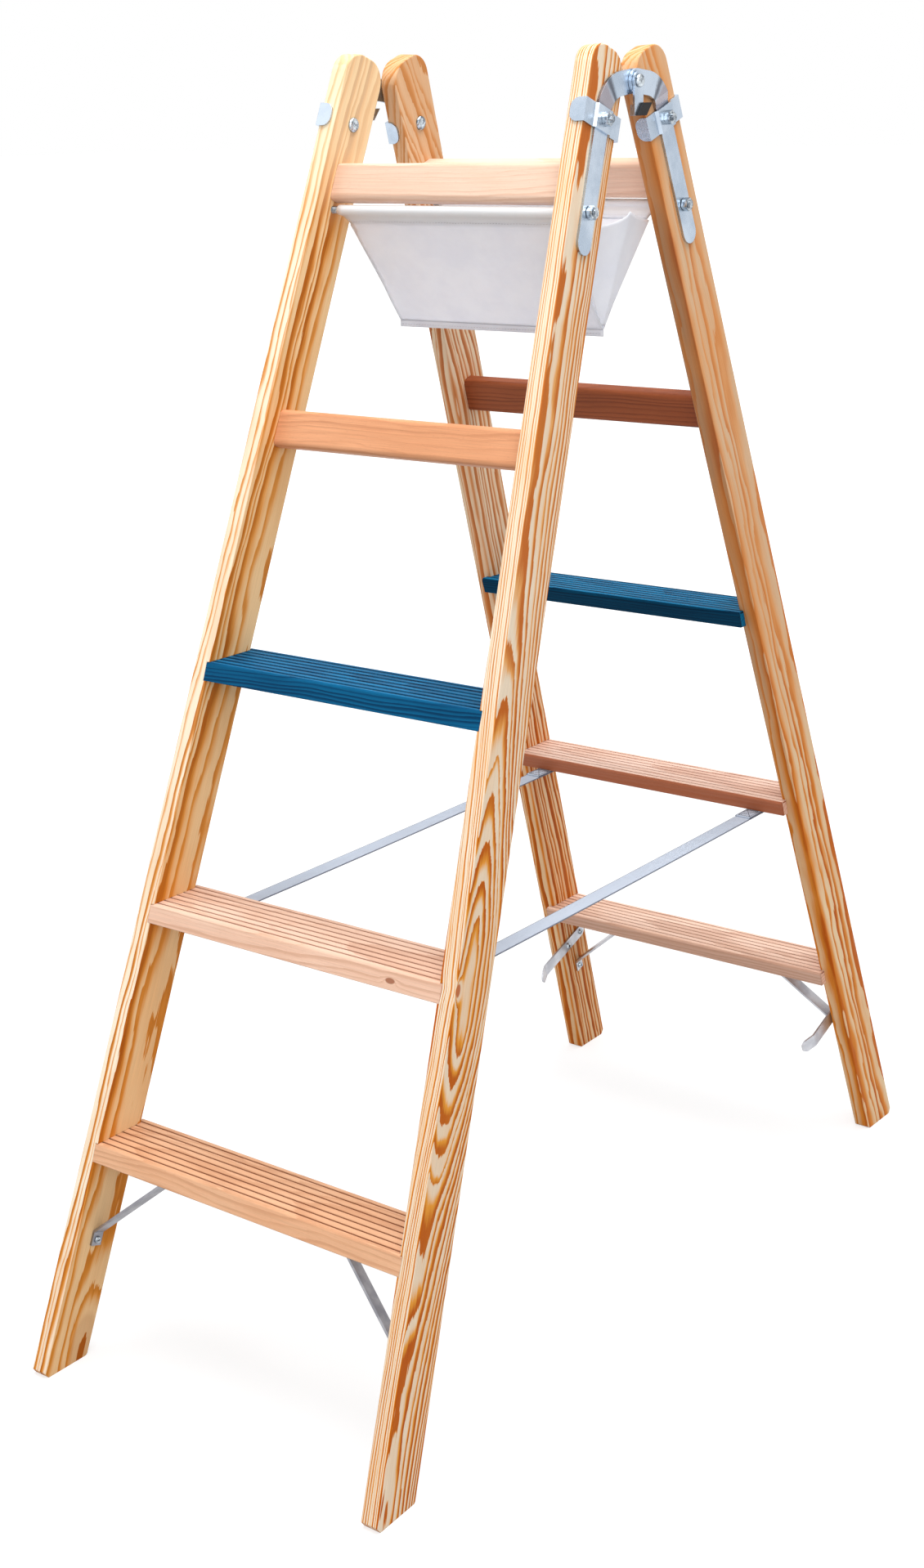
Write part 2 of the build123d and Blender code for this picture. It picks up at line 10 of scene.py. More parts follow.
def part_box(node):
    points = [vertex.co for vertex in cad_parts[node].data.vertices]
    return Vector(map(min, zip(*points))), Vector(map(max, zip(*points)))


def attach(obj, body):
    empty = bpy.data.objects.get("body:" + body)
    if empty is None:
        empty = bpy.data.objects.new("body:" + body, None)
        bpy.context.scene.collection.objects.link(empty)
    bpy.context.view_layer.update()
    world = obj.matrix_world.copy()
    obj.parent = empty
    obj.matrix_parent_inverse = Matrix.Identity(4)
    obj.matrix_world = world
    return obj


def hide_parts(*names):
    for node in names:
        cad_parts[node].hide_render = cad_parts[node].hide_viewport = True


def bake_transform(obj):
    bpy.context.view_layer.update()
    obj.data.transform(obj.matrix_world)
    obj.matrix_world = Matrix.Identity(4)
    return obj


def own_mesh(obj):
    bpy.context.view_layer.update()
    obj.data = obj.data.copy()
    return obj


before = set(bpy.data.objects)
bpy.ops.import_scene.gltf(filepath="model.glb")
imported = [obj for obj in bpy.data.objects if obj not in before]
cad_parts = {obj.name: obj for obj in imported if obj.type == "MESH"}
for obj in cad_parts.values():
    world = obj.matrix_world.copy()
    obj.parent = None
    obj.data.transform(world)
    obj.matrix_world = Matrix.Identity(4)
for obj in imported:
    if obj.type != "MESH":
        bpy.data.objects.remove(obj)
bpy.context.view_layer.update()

# Sizes repeated from the part, in metres and radians
MM = 0.001
METRE_IN_MM = 1000.0
LEAN = math.radians(20.0)
TAPER = math.radians(3.06)
FOOT_HALF = 231 * MM
STILE_DEPTH = 64 * MM
STEP_PITCH = 280 * MM
STEP_DEPTH = 80 * MM
STEP_THICK = 20 * MM
GROOVE_COUNT = 7
GROOVE_INSET = 7 * MM
GROOVE_BACK = 10 * MM
GROOVE_PITCH = (STEP_DEPTH - GROOVE_INSET - GROOVE_BACK) / (GROOVE_COUNT - 1)
PIVOT_UP = 1518 * MM
PIVOT_CLEAR = 1.8 * MM
PIVOT_DEPTH = STEP_DEPTH * math.cos(LEAN) + PIVOT_CLEAR
ROD_UP = 1364 * MM
FOOT_Y = PIVOT_DEPTH * math.cos(LEAN) + PIVOT_UP * math.sin(LEAN)
PIVOT_Z = PIVOT_UP * math.cos(LEAN) - PIVOT_DEPTH * math.sin(LEAN)
ROD_Y = FOOT_Y - STILE_DEPTH / 2 * math.cos(LEAN) - ROD_UP * math.sin(LEAN)
ROD_Z = ROD_UP * math.cos(LEAN) - STILE_DEPTH / 2 * math.sin(LEAN)
CREASE_Z = 2 * ROD_Z - PIVOT_Z
BAG_LONG = math.hypot(ROD_Y, ROD_Z - CREASE_Z)
ARM_TURN = math.radians(64.0)
ARM_RISE = 48 * MM
NECK_RADIUS = (
    ARM_RISE * math.sin(ARM_TURN) - (PIVOT_DEPTH - STILE_DEPTH / 2) * math.cos(ARM_TURN)
) / (1 - math.cos(ARM_TURN))
NECK_DEPTH = STILE_DEPTH / 2 + NECK_RADIUS
NECK_UP = PIVOT_UP - ARM_RISE
NECK_Y = FOOT_Y - NECK_DEPTH * math.cos(LEAN) - NECK_UP * math.sin(LEAN)
NECK_Z = NECK_UP * math.cos(LEAN) - NECK_DEPTH * math.sin(LEAN)
HALVES = {"front": -1, "rear": 1}
SIDES = {"left": -1, "right": 1}


def half_width(up):
    """Half of the width between the stiles at a length up the slope."""
    return FOOT_HALF - up * math.tan(TAPER)


def stile_axes(side, half):
    """Foot point, depth from the climbing face, up the stile and outward, for one stile."""
    foot = Vector((side * FOOT_HALF, half * FOOT_Y, 0))
    across = Vector((0, -half * math.cos(LEAN), -math.sin(LEAN)))
    along = Vector((
        -side * math.sin(TAPER),
        -half * math.cos(TAPER) * math.sin(LEAN),
        math.cos(TAPER) * math.cos(LEAN),
    ))
    outward = Vector((
        side * math.cos(TAPER),
        -half * math.sin(TAPER) * math.sin(LEAN),
        math.sin(TAPER) * math.cos(LEAN),
    ))
    return foot, across, along, outward


# Shader helpers


def colour(red, green, blue):
    """A screen colour from 0 to 255 as the linear colour that Blender wants."""
    def linear(value):
        share = value / 255
        return share / 12.92 if share <= 0.04045 else ((share + 0.055) / 1.055) ** 2.4
    return (linear(red), linear(green), linear(blue), 1.0)


class Tree:
    """Adds nodes to one shader tree; a value may be a socket or a constant."""

    def __init__(self, tree):
        self.tree = tree

    def put(self, socket, value):
        if isinstance(value, bpy.types.NodeSocket):
            self.tree.links.new(value, socket)
        else:
            socket.default_value = value

    def add(self, kind, values=None, **settings):
        made = self.tree.nodes.new(kind)
        for name, value in settings.items():
            setattr(made, name, value)
        for key, value in (values or {}).items():
            self.put(made.inputs[key], value)
        return made

    def math(self, operation, *values):
        return self.add("ShaderNodeMath", dict(enumerate(values)), operation=operation).outputs[0]

    def total(self, first, *rest):
        for value in rest:
            first = self.math("ADD", first, value)
        return first

    def times(self, first, *rest):
        for value in rest:
            first = self.math("MULTIPLY", first, value)
        return first

    def step(self, value, low, high, start=0.0, end=1.0):
        """From start where the value is low to end where it is high, with a soft way between."""
        limits = {0: value, 1: low, 2: high, 3: start, 4: end}
        return self.add("ShaderNodeMapRange", limits, interpolation_type="SMOOTHSTEP").outputs[0]

    def mix(self, share, first, second, blend="MIX"):
        """Two colours mixed; in the Mix node, sockets 6 and 7 take colours and socket 2 gives one."""
        colours = {0: share, 6: first, 7: second}
        return self.add("ShaderNodeMix", colours, data_type="RGBA", blend_type=blend).outputs[2]

    def around(self, value, middle, reach):
        """A share from 0 to 1 as a value up to this far below or above a middle one."""
        return self.math("MULTIPLY_ADD", value, 2 * reach, middle - reach)

    def band(self, value, start, full, last, end):
        """1 from full to last, with a soft fall to 0 at start and end."""
        return self.times(self.step(value, start, full), self.step(value, end, last))

    def place(self):
        return self.add("ShaderNodeTexCoord").outputs["Object"]

    def dot(self, first, second):
        made = self.add("ShaderNodeVectorMath", {0: first, 1: second}, operation="DOT_PRODUCT")
        return made.outputs["Value"]

    def length(self, vector):
        return self.add("ShaderNodeVectorMath", {0: vector}, operation="LENGTH").outputs["Value"]

    def vector(self, x, y, z):
        return self.add("ShaderNodeCombineXYZ", {0: x, 1: y, 2: z}).outputs[0]

    def parts(self, vector):
        return self.add("ShaderNodeSeparateXYZ", {0: vector}).outputs

    def noise(self, vector, detail, roughness=0.5):
        values = {"Vector": vector, "Scale": 1.0, "Detail": detail, "Roughness": roughness}
        return self.add("ShaderNodeTexNoise", values).outputs

    def group(self, source, values):
        return self.add("ShaderNodeGroup", values, node_tree=source).outputs


VALUE, VECTOR = "NodeSocketFloat", "NodeSocketVector"


def new_group(name, inputs, outputs):
    """A shader node group with its sockets, as (group, its tree, what comes in, what goes out)."""
    source = bpy.data.node_groups.new(name, "ShaderNodeTree")
    for key, value in inputs.items():
        kind = VECTOR if isinstance(value, tuple) else VALUE
        socket = source.interface.new_socket(key, in_out="INPUT", socket_type=kind)
        socket.default_value = value
    for key, kind in outputs.items():
        source.interface.new_socket(key, in_out="OUTPUT", socket_type=kind)
    tree = Tree(source)
    return source, tree, tree.add("NodeGroupInput").outputs, tree.add("NodeGroupOutput").inputs


def make_board_axes():
    """Place in a board, in millimetres: depth, length along the grain, thickness."""
    source, tree, got, out = new_group(
        "board_axes",
        {"Origin": (0, 0, 0), "Depth": (0, 1, 0), "Grain": (1, 0, 0), "Thickness": (0, 0, 1)},
        {"Board": VECTOR},
    )
    shift = {0: tree.place(), 1: got["Origin"]}
    place = tree.add("ShaderNodeVectorMath", shift, operation="SUBTRACT").outputs[0]
    found = [tree.times(tree.dot(place, got[key]), METRE_IN_MM) for key in ("Depth", "Grain", "Thickness")]
    tree.put(out["Board"], tree.vector(*found))
    return source


# How rings wander: the length in millimetres of a slow wave of the pith, the change in width from one
# ring to the next, and the rings that a knot pulls aside with how quickly that fades
SLOW_WAVE = 190.0
RING_CHANGE = 0.45
KNOT_PULL = 1.2
KNOT_FADE = 0.16
# How rings stray from circles: waves per millimetre across and along the grain, the shift that sets one
# noise apart from the others, its detail, and its reach in rings
STRAYS = ((0.025, 0.005, 11.0, 1.0, 0.9), (0.1, 0.02, 23.0, 1.0, 0.3), (0.7, 0.02, 37.0, 2.0, 0.14))
# How far one step of the seed moves the strays, the slow wave and the tones of the rings
SEED_STRAY = 3.7
SEED_SLOW = (7.3, 1.9)
SEED_TONE = 31.7
# Part of a ring at which its late wood is full and at which it starts to end, how much earlier it starts
# in the darkest ring, and how dark it is in the palest
LATE_FULL = 0.97
LATE_END = 0.95
LATE_EARLIER = 0.5
LATE_LEAST = 0.45
# Edge of a knot, in its own sizes: where it starts to darken and where it is dark
KNOT_EDGE = (1.9, 1.3)


def make_growth_rings():
    """Year rings cut by the board's faces: late wood and knot."""
    source, tree, got, out = new_group(
        "growth_rings",
        {
            "Board": (0, 0, 0), "Pith Depth": 20.0, "Pith Thickness": -60.0, "Drift Depth": 0.0,
            "Drift Thickness": 0.0, "Ring Width": 2.6, "Wave": 2.0, "Late Start": 0.55, "Seed": 0.0,
            "Hump Length": 0.0, "Hump Spread": 100.0, "Hump Depth": 0.0, "Hump Thickness": 0.0,
            "Knot Depth": 30.0, "Knot Length": -900.0, "Knot Height": 0.0, "Knot Round": 0.0,
            "Knot Size": 4.0, "Knot Shade": 0.85, "Knot Slim": 0.5,
        },
        {"Late": VALUE, "Knot": VALUE},
    )
    depth, length, thick = tree.parts(got["Board"])
    seed = got["Seed"]

    def wander(per_depth, per_length, shift, detail):
        """Noise with its waves per millimetre across and along the grain; shift sets each one apart."""
        place = tree.vector(
            tree.total(tree.times(depth, per_depth), seed),
            tree.total(tree.times(length, per_length), shift),
            tree.total(tree.times(thick, per_depth), tree.times(seed, SEED_STRAY)),
        )
        return tree.noise(place, detail)[0]

    slow_seeds = (tree.times(seed, shift) for shift in SEED_SLOW)
    slow = tree.noise(tree.vector(tree.times(length, 1 / SLOW_WAVE), *slow_seeds), detail=1.0)[1]
    slow_thick, slow_depth, _ = tree.parts(slow)
    from_hump = tree.math("DIVIDE", tree.math("SUBTRACT", length, got["Hump Length"]), got["Hump Spread"])
    hump = tree.math("EXPONENT", tree.times(from_hump, from_hump, -1.0))
    pith_thick = tree.total(
        got["Pith Thickness"],
        tree.times(got["Drift Thickness"], length),
        tree.times(got["Hump Thickness"], hump),
        tree.times(got["Wave"], tree.around(slow_thick, 0.0, 1.0)),
    )
    pith_depth = tree.total(
        got["Pith Depth"],
        tree.times(got["Drift Depth"], length),
        tree.times(got["Hump Depth"], hump),
        tree.times(got["Wave"], tree.around(slow_depth, 0.0, 1.0)),
    )
    away_depth = tree.math("SUBTRACT", depth, pith_depth)
    away_thick = tree.math("SUBTRACT", thick, pith_thick)
    radius = tree.math(
        "SQRT", tree.total(tree.times(away_depth, away_depth), tree.times(away_thick, away_thick))
    )
    rings = tree.math("DIVIDE", radius, got["Ring Width"])
    strays = [tree.around(wander(*waves), 0.0, reach) for *waves, reach in STRAYS]
    knot_depth = tree.math("SUBTRACT", depth, got["Knot Depth"])
    knot_length = tree.times(tree.math("SUBTRACT", length, got["Knot Length"]), got["Knot Slim"])
    knot_height = tree.times(tree.math("SUBTRACT", thick, got["Knot Height"]), got["Knot Round"])
    knot_far = tree.length(tree.vector(knot_depth, knot_length, knot_height))
    knot_far = tree.math("DIVIDE", knot_far, got["Knot Size"])
    swirl = tree.math("EXPONENT", tree.times(knot_far, knot_far, -KNOT_FADE))
    rings = tree.total(rings, *strays, tree.times(swirl, -KNOT_PULL))
    uneven = tree.noise(tree.vector(tree.times(rings, RING_CHANGE), seed, 5.0), detail=1.0)[0]
    rings = tree.total(rings, tree.around(uneven, 0.0, 1.0))
    phase = tree.math("FRACT", rings)
    index = tree.total(tree.math("FLOOR", rings), tree.times(seed, SEED_TONE))
    tone = tree.add("ShaderNodeTexWhiteNoise", {"W": index}, noise_dimensions="1D").outputs[0]
    start = tree.math("MULTIPLY_ADD", tone, -LATE_EARLIER, got["Late Start"])
    rise = tree.step(phase, start, LATE_FULL)
    fall = tree.step(phase, LATE_END, 1.0, 1.0, 0.0)
    late = tree.times(rise, fall, tree.math("MULTIPLY_ADD", tone, 1 - LATE_LEAST, LATE_LEAST))
    tree.put(out["Late"], late)
    tree.put(out["Knot"], tree.times(tree.step(knot_far, *KNOT_EDGE), got["Knot Shade"]))
    return source


# Waves per millimetre across and along the grain, and the shift, of streaks, flecks and broad drift
STREAK_WAVES = (0.9, 0.012, 3.0)
FLECK_WAVES = (1.5, 0.16, 9.0)
DRIFT_WAVES = (0.02, 0.006, 17.0)
# Noise at which a fleck starts and at which it is full
FLECK_EDGE = (0.62, 0.74)


def make_wood_fibre():
    """Fine structure along the grain: streaks, short dark flecks, broad colour drift."""
    source, tree, got, out = new_group(
        "wood_fibre", {"Board": (0, 0, 0), "Seed": 0.0}, {"Streak": VALUE, "Fleck": VALUE, "Drift": VALUE}
    )
    depth, length, thick = tree.parts(got["Board"])

    def along(per_depth, per_length, shift):
        return tree.vector(
            tree.total(tree.times(depth, per_depth), got["Seed"]),
            tree.total(tree.times(length, per_length), shift),
            tree.times(thick, per_depth),
        )

    tree.put(out["Streak"], tree.noise(along(*STREAK_WAVES), detail=4.0, roughness=0.65)[0])
    spots = tree.noise(along(*FLECK_WAVES), detail=1.0)[0]
    tree.put(out["Fleck"], tree.step(spots, *FLECK_EDGE))
    tree.put(out["Drift"], tree.noise(along(*DRIFT_WAVES), detail=2.0)[0])
    return source


# Waves of the scuffs per millimetre, across them and along them
SCUFF_ACROSS = 1.6
SCUFF_ALONG = 0.12


def make_plating():
    """Cloudy bright plating: broad tone, fine scuffs."""
    source, tree, got, out = new_group(
        "plating", {"Cloud Size": 18.0, "Seed": 0.0}, {"Cloud": VALUE, "Scuff": VALUE}
    )
    to_mm = {0: tree.place(), "Scale": METRE_IN_MM}
    place = tree.add("ShaderNodeVectorMath", to_mm, operation="SCALE").outputs[0]
    x, y, z = tree.parts(place)
    size = got["Cloud Size"]
    clouds = {0: place, 1: tree.vector(size, size, size)}
    broad = tree.add("ShaderNodeVectorMath", clouds, operation="DIVIDE").outputs[0]
    tree.put(out["Cloud"], tree.noise(broad, detail=3.0, roughness=0.6)[0])
    shifted = tree.total(tree.times(y, SCUFF_ACROSS), got["Seed"])
    fine = tree.vector(tree.times(x, SCUFF_ACROSS), shifted, tree.times(z, SCUFF_ALONG))
    tree.put(out["Scuff"], tree.noise(fine, detail=3.0, roughness=0.7)[0])
    return source


def make_weave():
    """Plain weave of crossing yarns, with a pitch in millimetres for each direction."""
    source, tree, got, out = new_group(
        "weave",
        {"Across": (1, 0, 0), "Along": (0, 1, 0), "Across Pitch": 0.9, "Along Pitch": 0.7},
        {"Height": VALUE, "Yarn": VALUE},
    )
    place = tree.place()

    def wave(axis, pitch):
        return tree.math("DIVIDE", tree.times(tree.dot(place, got[axis]), METRE_IN_MM * math.pi), got[pitch])

    warp, weft = wave("Across", "Across Pitch"), wave("Along", "Along Pitch")
    over = tree.times(tree.math("SINE", warp), tree.math("SINE", weft))
    tree.put(out["Height"], tree.math("ABSOLUTE", over))
    tree.put(out["Yarn"], tree.math("MULTIPLY_ADD", over, 0.5, 0.5))
    return source


BOARD_AXES = make_board_axes()
GROWTH_RINGS = make_growth_rings()
WOOD_FIBRE = make_wood_fibre()
PLATING = make_plating()
WEAVE = make_weave()


def empty_tree(owner):
    """The node tree of a material or a world, without the nodes it starts with."""
    owner.use_nodes = True
    owner.node_tree.nodes.clear()
    return Tree(owner.node_tree)


def new_material(name):
    """An empty node material, as (material, its tree, its Principled shader)."""
    made = bpy.data.materials.new(name)
    tree = empty_tree(made)
    shader = tree.add("ShaderNodeBsdfPrincipled")
    tree.add("ShaderNodeOutputMaterial", {"Surface": shader.outputs[0]})
    return made, tree, shader


def bump(tree, shader, height, depth, normal=None):
    """Gives a shader relief of this depth, on top of a normal where there is one."""
    made = tree.add("ShaderNodeBump", {"Height": height, "Strength": 1.0, "Distance": depth})
    if normal is not None:
        tree.put(made.inputs["Normal"], normal)
    tree.put(shader.inputs["Normal"], made.outputs[0])


def soft_edges(tree, radius):
    """A normal that rounds the edges of the solids in the light."""
    return tree.add("ShaderNodeBevel", {"Radius": radius}, samples=4).outputs[0]


# Places on a stile, in millimetres: along it, where its tones change, and across it, at its narrow faces
STILE_CHANGE = (300.0, 1000.0)
CREAM_CHANGE = (100.0, 1100.0)
TOP_CHANGE = (1330.0, 1440.0)
CLIMBING_EDGE = (1.2, 0.4)
INNER_EDGE = (62.8, 63.6)
# Places on a step, in millimetres: heights of the painted shade in the grooves and of the ridges between
# them, depths of the grooved part, and the edge with painted shade; then the staining and painted shade
# beside a groove, in shares of a pitch
GROOVE_SHADE_HEIGHT = (17.0, 17.8, 18.9, 19.5)
RIDGE_HEIGHT = (19.9, 19.98)
GROOVED_PART = (2.2, 3.0, 75.6, 76.4)
SHADED_EDGE = (2.0, 0.8)
GROOVE_STAIN_AND_SHADE = (0.36, 0.2)
# Shares of the ridge tone, of the staining and painted shade beside a groove and of the painted shade in it
RIDGE_SHARE = 0.3
GROOVE_STAIN_AND_SHADE_SHARE = 0.72
GROOVE_SHADE_SHARE = 0.9
# Late wood at which its tone and the darkest one start and are full, and the same for the broad drift
LATE_TONE = (0.0, 0.45)
DEEP_TONE = (0.25, 0.8)
DRIFT_TONE = (0.35, 0.65)
# What a streak changes in tint and gloss, the shares of rings and streaks in the relief, its depth, and
# the radius by which the light rounds the edges
STREAK_TINT = 0.2
STREAK_GLOSS = 0.1
RING_RELIEF = 0.25
STREAK_RELIEF = 0.6
WOOD_RELIEF = 0.22 * MM
WOOD_EDGE = 1.2 * MM


def stile_early(tree, early, stile, across, length):
    """Early wood of a stile, with other tones towards its top and on its climbing face."""
    for key, tone in (("tan", PINE_TAN), ("pale", PINE_CREAM)):
        if key in stile:
            early = tree.mix(tree.step(length, *STILE_CHANGE, *stile[key]), early, tone)
    if "cream" in stile:
        cream = tree.step(length, *CREAM_CHANGE, *stile["cream"])
        early = tree.mix(tree.times(tree.step(across, *CLIMBING_EDGE), cream), early, PINE_CREAM)
    return early


def tread_tint(tree, tint, deep, across, height, tread, edge_shade, ridge):
    """Tint of a step: painted shade in its grooves, staining and painted shade on their brims, painted shade
    on its edge, its lighter ridges.
    """
    # The long edges of a step lean with the stiles
    lean = tread * math.tan(LEAN)
    from_edge = tree.math("MULTIPLY_ADD", height, lean, across)
    from_edge = tree.math("SUBTRACT", from_edge, max(0.0, STEP_THICK * METRE_IN_MM * lean))
    if ridge:
        top = tree.step(height, *RIDGE_HEIGHT)
        first = GROOVE_INSET if tread < 0 else GROOVE_BACK
        lane = tree.math("SUBTRACT", from_edge, first * METRE_IN_MM)
        lane = tree.math("PINGPONG", tree.math("DIVIDE", lane, GROOVE_PITCH * METRE_IN_MM), 0.5)
        tint = tree.mix(tree.times(top, RIDGE_SHARE), tint, ridge)
        # Staining and painted shade beside each groove
        brim = tree.times(top, tree.step(lane, *GROOVE_STAIN_AND_SHADE), GROOVE_STAIN_AND_SHADE_SHARE)
        tint = tree.mix(brim, tint, deep)
    # Painted shade on the walls and floor of each groove
    groove_shade = tree.times(tree.band(height, *GROOVE_SHADE_HEIGHT), tree.band(from_edge, *GROOVED_PART))
    tint = tree.mix(tree.times(groove_shade, GROOVE_SHADE_SHARE), tint, deep)
    # Painted shade on the long edge that faces the front, strongest on the rear steps, whose inner faces lean
    # down
    if edge_shade:
        tint = tree.mix(tree.times(tree.step(from_edge, *SHADED_EDGE), edge_shade), tint, deep)
    return tint


def wood(name, axes, rings, tones, contrast, drift, gloss, shine, fleck=0.0, stile=None,
         tread=0, edge_shade=0.0, ridge=None):
    """Lacquered wood. tones are the early, late and darkest colours; rings are growth_rings values.

    stile holds how a stile differs along its length and on its narrow faces. tread is -1 for a
    front step and 1 for a rear one, the edge share is painted shade on the step's edge where depth is
    nought, and ridge is a lighter tone on the ridges between grooves that have staining and painted shade
    along their brims.
    """
    made, tree, shader = new_material(name)
    keys = ("Origin", "Depth", "Grain", "Thickness")
    board = tree.group(BOARD_AXES, {key: tuple(axis) for key, axis in zip(keys, axes)})["Board"]
    ring = tree.group(GROWTH_RINGS, {"Board": board, **rings})
    fibre = tree.group(WOOD_FIBRE, {"Board": board, "Seed": rings["Seed"]})
    early, late, deep = tones
    across, length, height = tree.parts(board)
    lines = ring["Late"]
    if stile:
        contrast = tree.step(length, *STILE_CHANGE, contrast, contrast * stile["upper"])
        early = stile_early(tree, early, stile, across, length)
        if "fine" in stile:
            finer = tree.times(tree.step(across, *CLIMBING_EDGE), stile["fine"])
            lines = tree.math("SUBTRACT", lines, finer)
    tint = tree.mix(tree.times(tree.step(lines, *LATE_TONE), contrast), early, late)
    tint = tree.mix(tree.times(tree.step(lines, *DEEP_TONE), contrast), tint, deep)
    # Painted shade on the inner narrow face of the rear stiles, growing towards the top
    if stile and "inner" in stile:
        inner = tree.step(length, *STILE_CHANGE, *stile["inner"])
        tint = tree.mix(tree.times(tree.step(across, *INNER_EDGE), inner), tint, PINE_PAINTED_SHADE, "MULTIPLY")
    broad = tree.step(fibre["Drift"], *DRIFT_TONE)
    tint = tree.mix(tree.times(broad, drift), tint, late)
    # Above the upper rung: painted light on the front left stile, a deeper gold on the rear left one
    if stile and "top" in stile:
        top_tone, top_share = stile["top"]
        tint = tree.mix(tree.step(length, *TOP_CHANGE, 0.0, top_share), tint, top_tone)
    streak = tree.around(fibre["Streak"], 1.0, STREAK_TINT)
    tint = tree.mix(1.0, tint, tree.vector(streak, streak, streak), "MULTIPLY")
    if fleck:
        tint = tree.mix(tree.times(fibre["Fleck"], fleck), tint, deep)
    if tread:
        tint = tread_tint(tree, tint, deep, across, height, tread, edge_shade, ridge)
    tint = tree.mix(ring["Knot"], tint, deep)
    tree.put(shader.inputs["Base Color"], tint)
    tree.put(shader.inputs["Roughness"], tree.around(fibre["Streak"], gloss, STREAK_GLOSS))
    relief = tree.total(tree.times(ring["Late"], RING_RELIEF), tree.times(fibre["Streak"], STREAK_RELIEF))
    bump(tree, shader, relief, WOOD_RELIEF, soft_edges(tree, WOOD_EDGE))
    shader.inputs["Specular IOR Level"].default_value = shine
    return made


# Painted reflections in bands across the curved neck of a hinge arm, in degrees round the bend
NECK_SOFT_BAND = (2.0, 9.0, 26.0, 36.0)
NECK_DARK_BANDS = ((30.0, 36.0, 38.0, 46.0), (-2.0, 2.0, 4.0, 10.0))
# Degrees by which the bands are ragged, the rise at which they begin, and the shares of their tones
NECK_RAGGED = 6.0
NECK_RISE = (-2 * MM, 1 * MM)
NECK_SOFT_SHARE = 0.75
NECK_DARK_SHARE = 0.85
# Noise at which a cloud of the plating starts and is full, what a scuff changes in gloss, the weight of
# clouds and of a thread in the relief, and its depth
PLATING_CLOUD = (0.35, 0.68)
SCUFF_GLOSS = 0.11
CLOUD_RELIEF = 0.8
THREAD_RELIEF = 6.0
METAL_RELIEF = 0.06 * MM


def neck_reflections(tree, tint, soft_tone, dark_tone, scuff):
    """Tint of a hinge arm with painted reflections in two tones across its neck."""
    _, y, z = tree.parts(tree.place())
    y = tree.math("SUBTRACT", tree.math("ABSOLUTE", y), NECK_Y)
    z = tree.math("SUBTRACT", z, NECK_Z)
    out = tree.total(tree.times(y, math.cos(LEAN)), tree.times(z, math.sin(LEAN)))
    rise = tree.total(tree.times(y, -math.sin(LEAN)), tree.times(z, math.cos(LEAN)))
    turn = tree.times(tree.math("ARCTAN2", rise, out), 180.0 / math.pi)
    turn = tree.total(turn, tree.around(scuff, 0.0, NECK_RAGGED))
    above = tree.step(rise, *NECK_RISE)
    soft = tree.times(tree.band(turn, *NECK_SOFT_BAND), above, NECK_SOFT_SHARE)
    tint = tree.mix(soft, tint, soft_tone)
    dark = tree.total(*(tree.band(turn, *limits) for limits in NECK_DARK_BANDS))
    return tree.mix(tree.times(dark, above, NECK_DARK_SHARE), tint, dark_tone)


def metal(name, bright, dull, rough, cloud=18.0, seed=0.0, soft_edge=0.5, neck_reflection_tones=None, thread=0.0,
          metallic=1.0, shine=0.5):
    """Bare or plated metal, or smooth plastic where metallic is nought.

    soft_edge is the radius in millimetres by which the light rounds its edges. The two neck tones
    are painted reflections across the necks of the hinge arms, and thread is the pitch in millimetres of a
    screw thread along x.
    """
    made, tree, shader = new_material(name)
    marks = tree.group(PLATING, {"Cloud Size": cloud, "Seed": seed})
    tint = tree.mix(tree.step(marks["Cloud"], *PLATING_CLOUD), bright, dull)
    # Painted reflections across the necks of the hinge arms
    if neck_reflection_tones:
        tint = neck_reflections(tree, tint, *neck_reflection_tones, marks["Scuff"])
    tree.put(shader.inputs["Base Color"], tint)
    tree.put(shader.inputs["Roughness"], tree.around(marks["Scuff"], rough, SCUFF_GLOSS))
    shader.inputs["Metallic"].default_value = metallic
    shader.inputs["Specular IOR Level"].default_value = shine
    relief = tree.total(marks["Scuff"], tree.times(marks["Cloud"], CLOUD_RELIEF))
    if thread:
        along = tree.parts(tree.place())[0]
        ridge = tree.math("ABSOLUTE", tree.math("SINE", tree.times(along, METRE_IN_MM * math.pi / thread)))
        relief = tree.total(relief, tree.times(ridge, THREAD_RELIEF))
    bump(tree, shader, relief, METAL_RELIEF, soft_edges(tree, soft_edge * MM))
    return made


# Drop below a rod from which the doubled cloth of a hem turns to its lighter tint, painted light on its round
# top, and where it has it
HEM_LIGHT_DROP = (22 * MM, 4 * MM)
# Clouds in a cloth's tint with the noise where they start and are full, shade of the yarns, change of
# gloss, and how deep light goes in
CLOTH_MARKS = {"Cloud Size": 45.0, "Seed": 4.0}
CLOTH_CLOUD = (0.3, 0.75)
YARN_SHADE = 0.06
CLOTH_GLOSS = 0.08
GLOW_DEPTH = 4 * MM


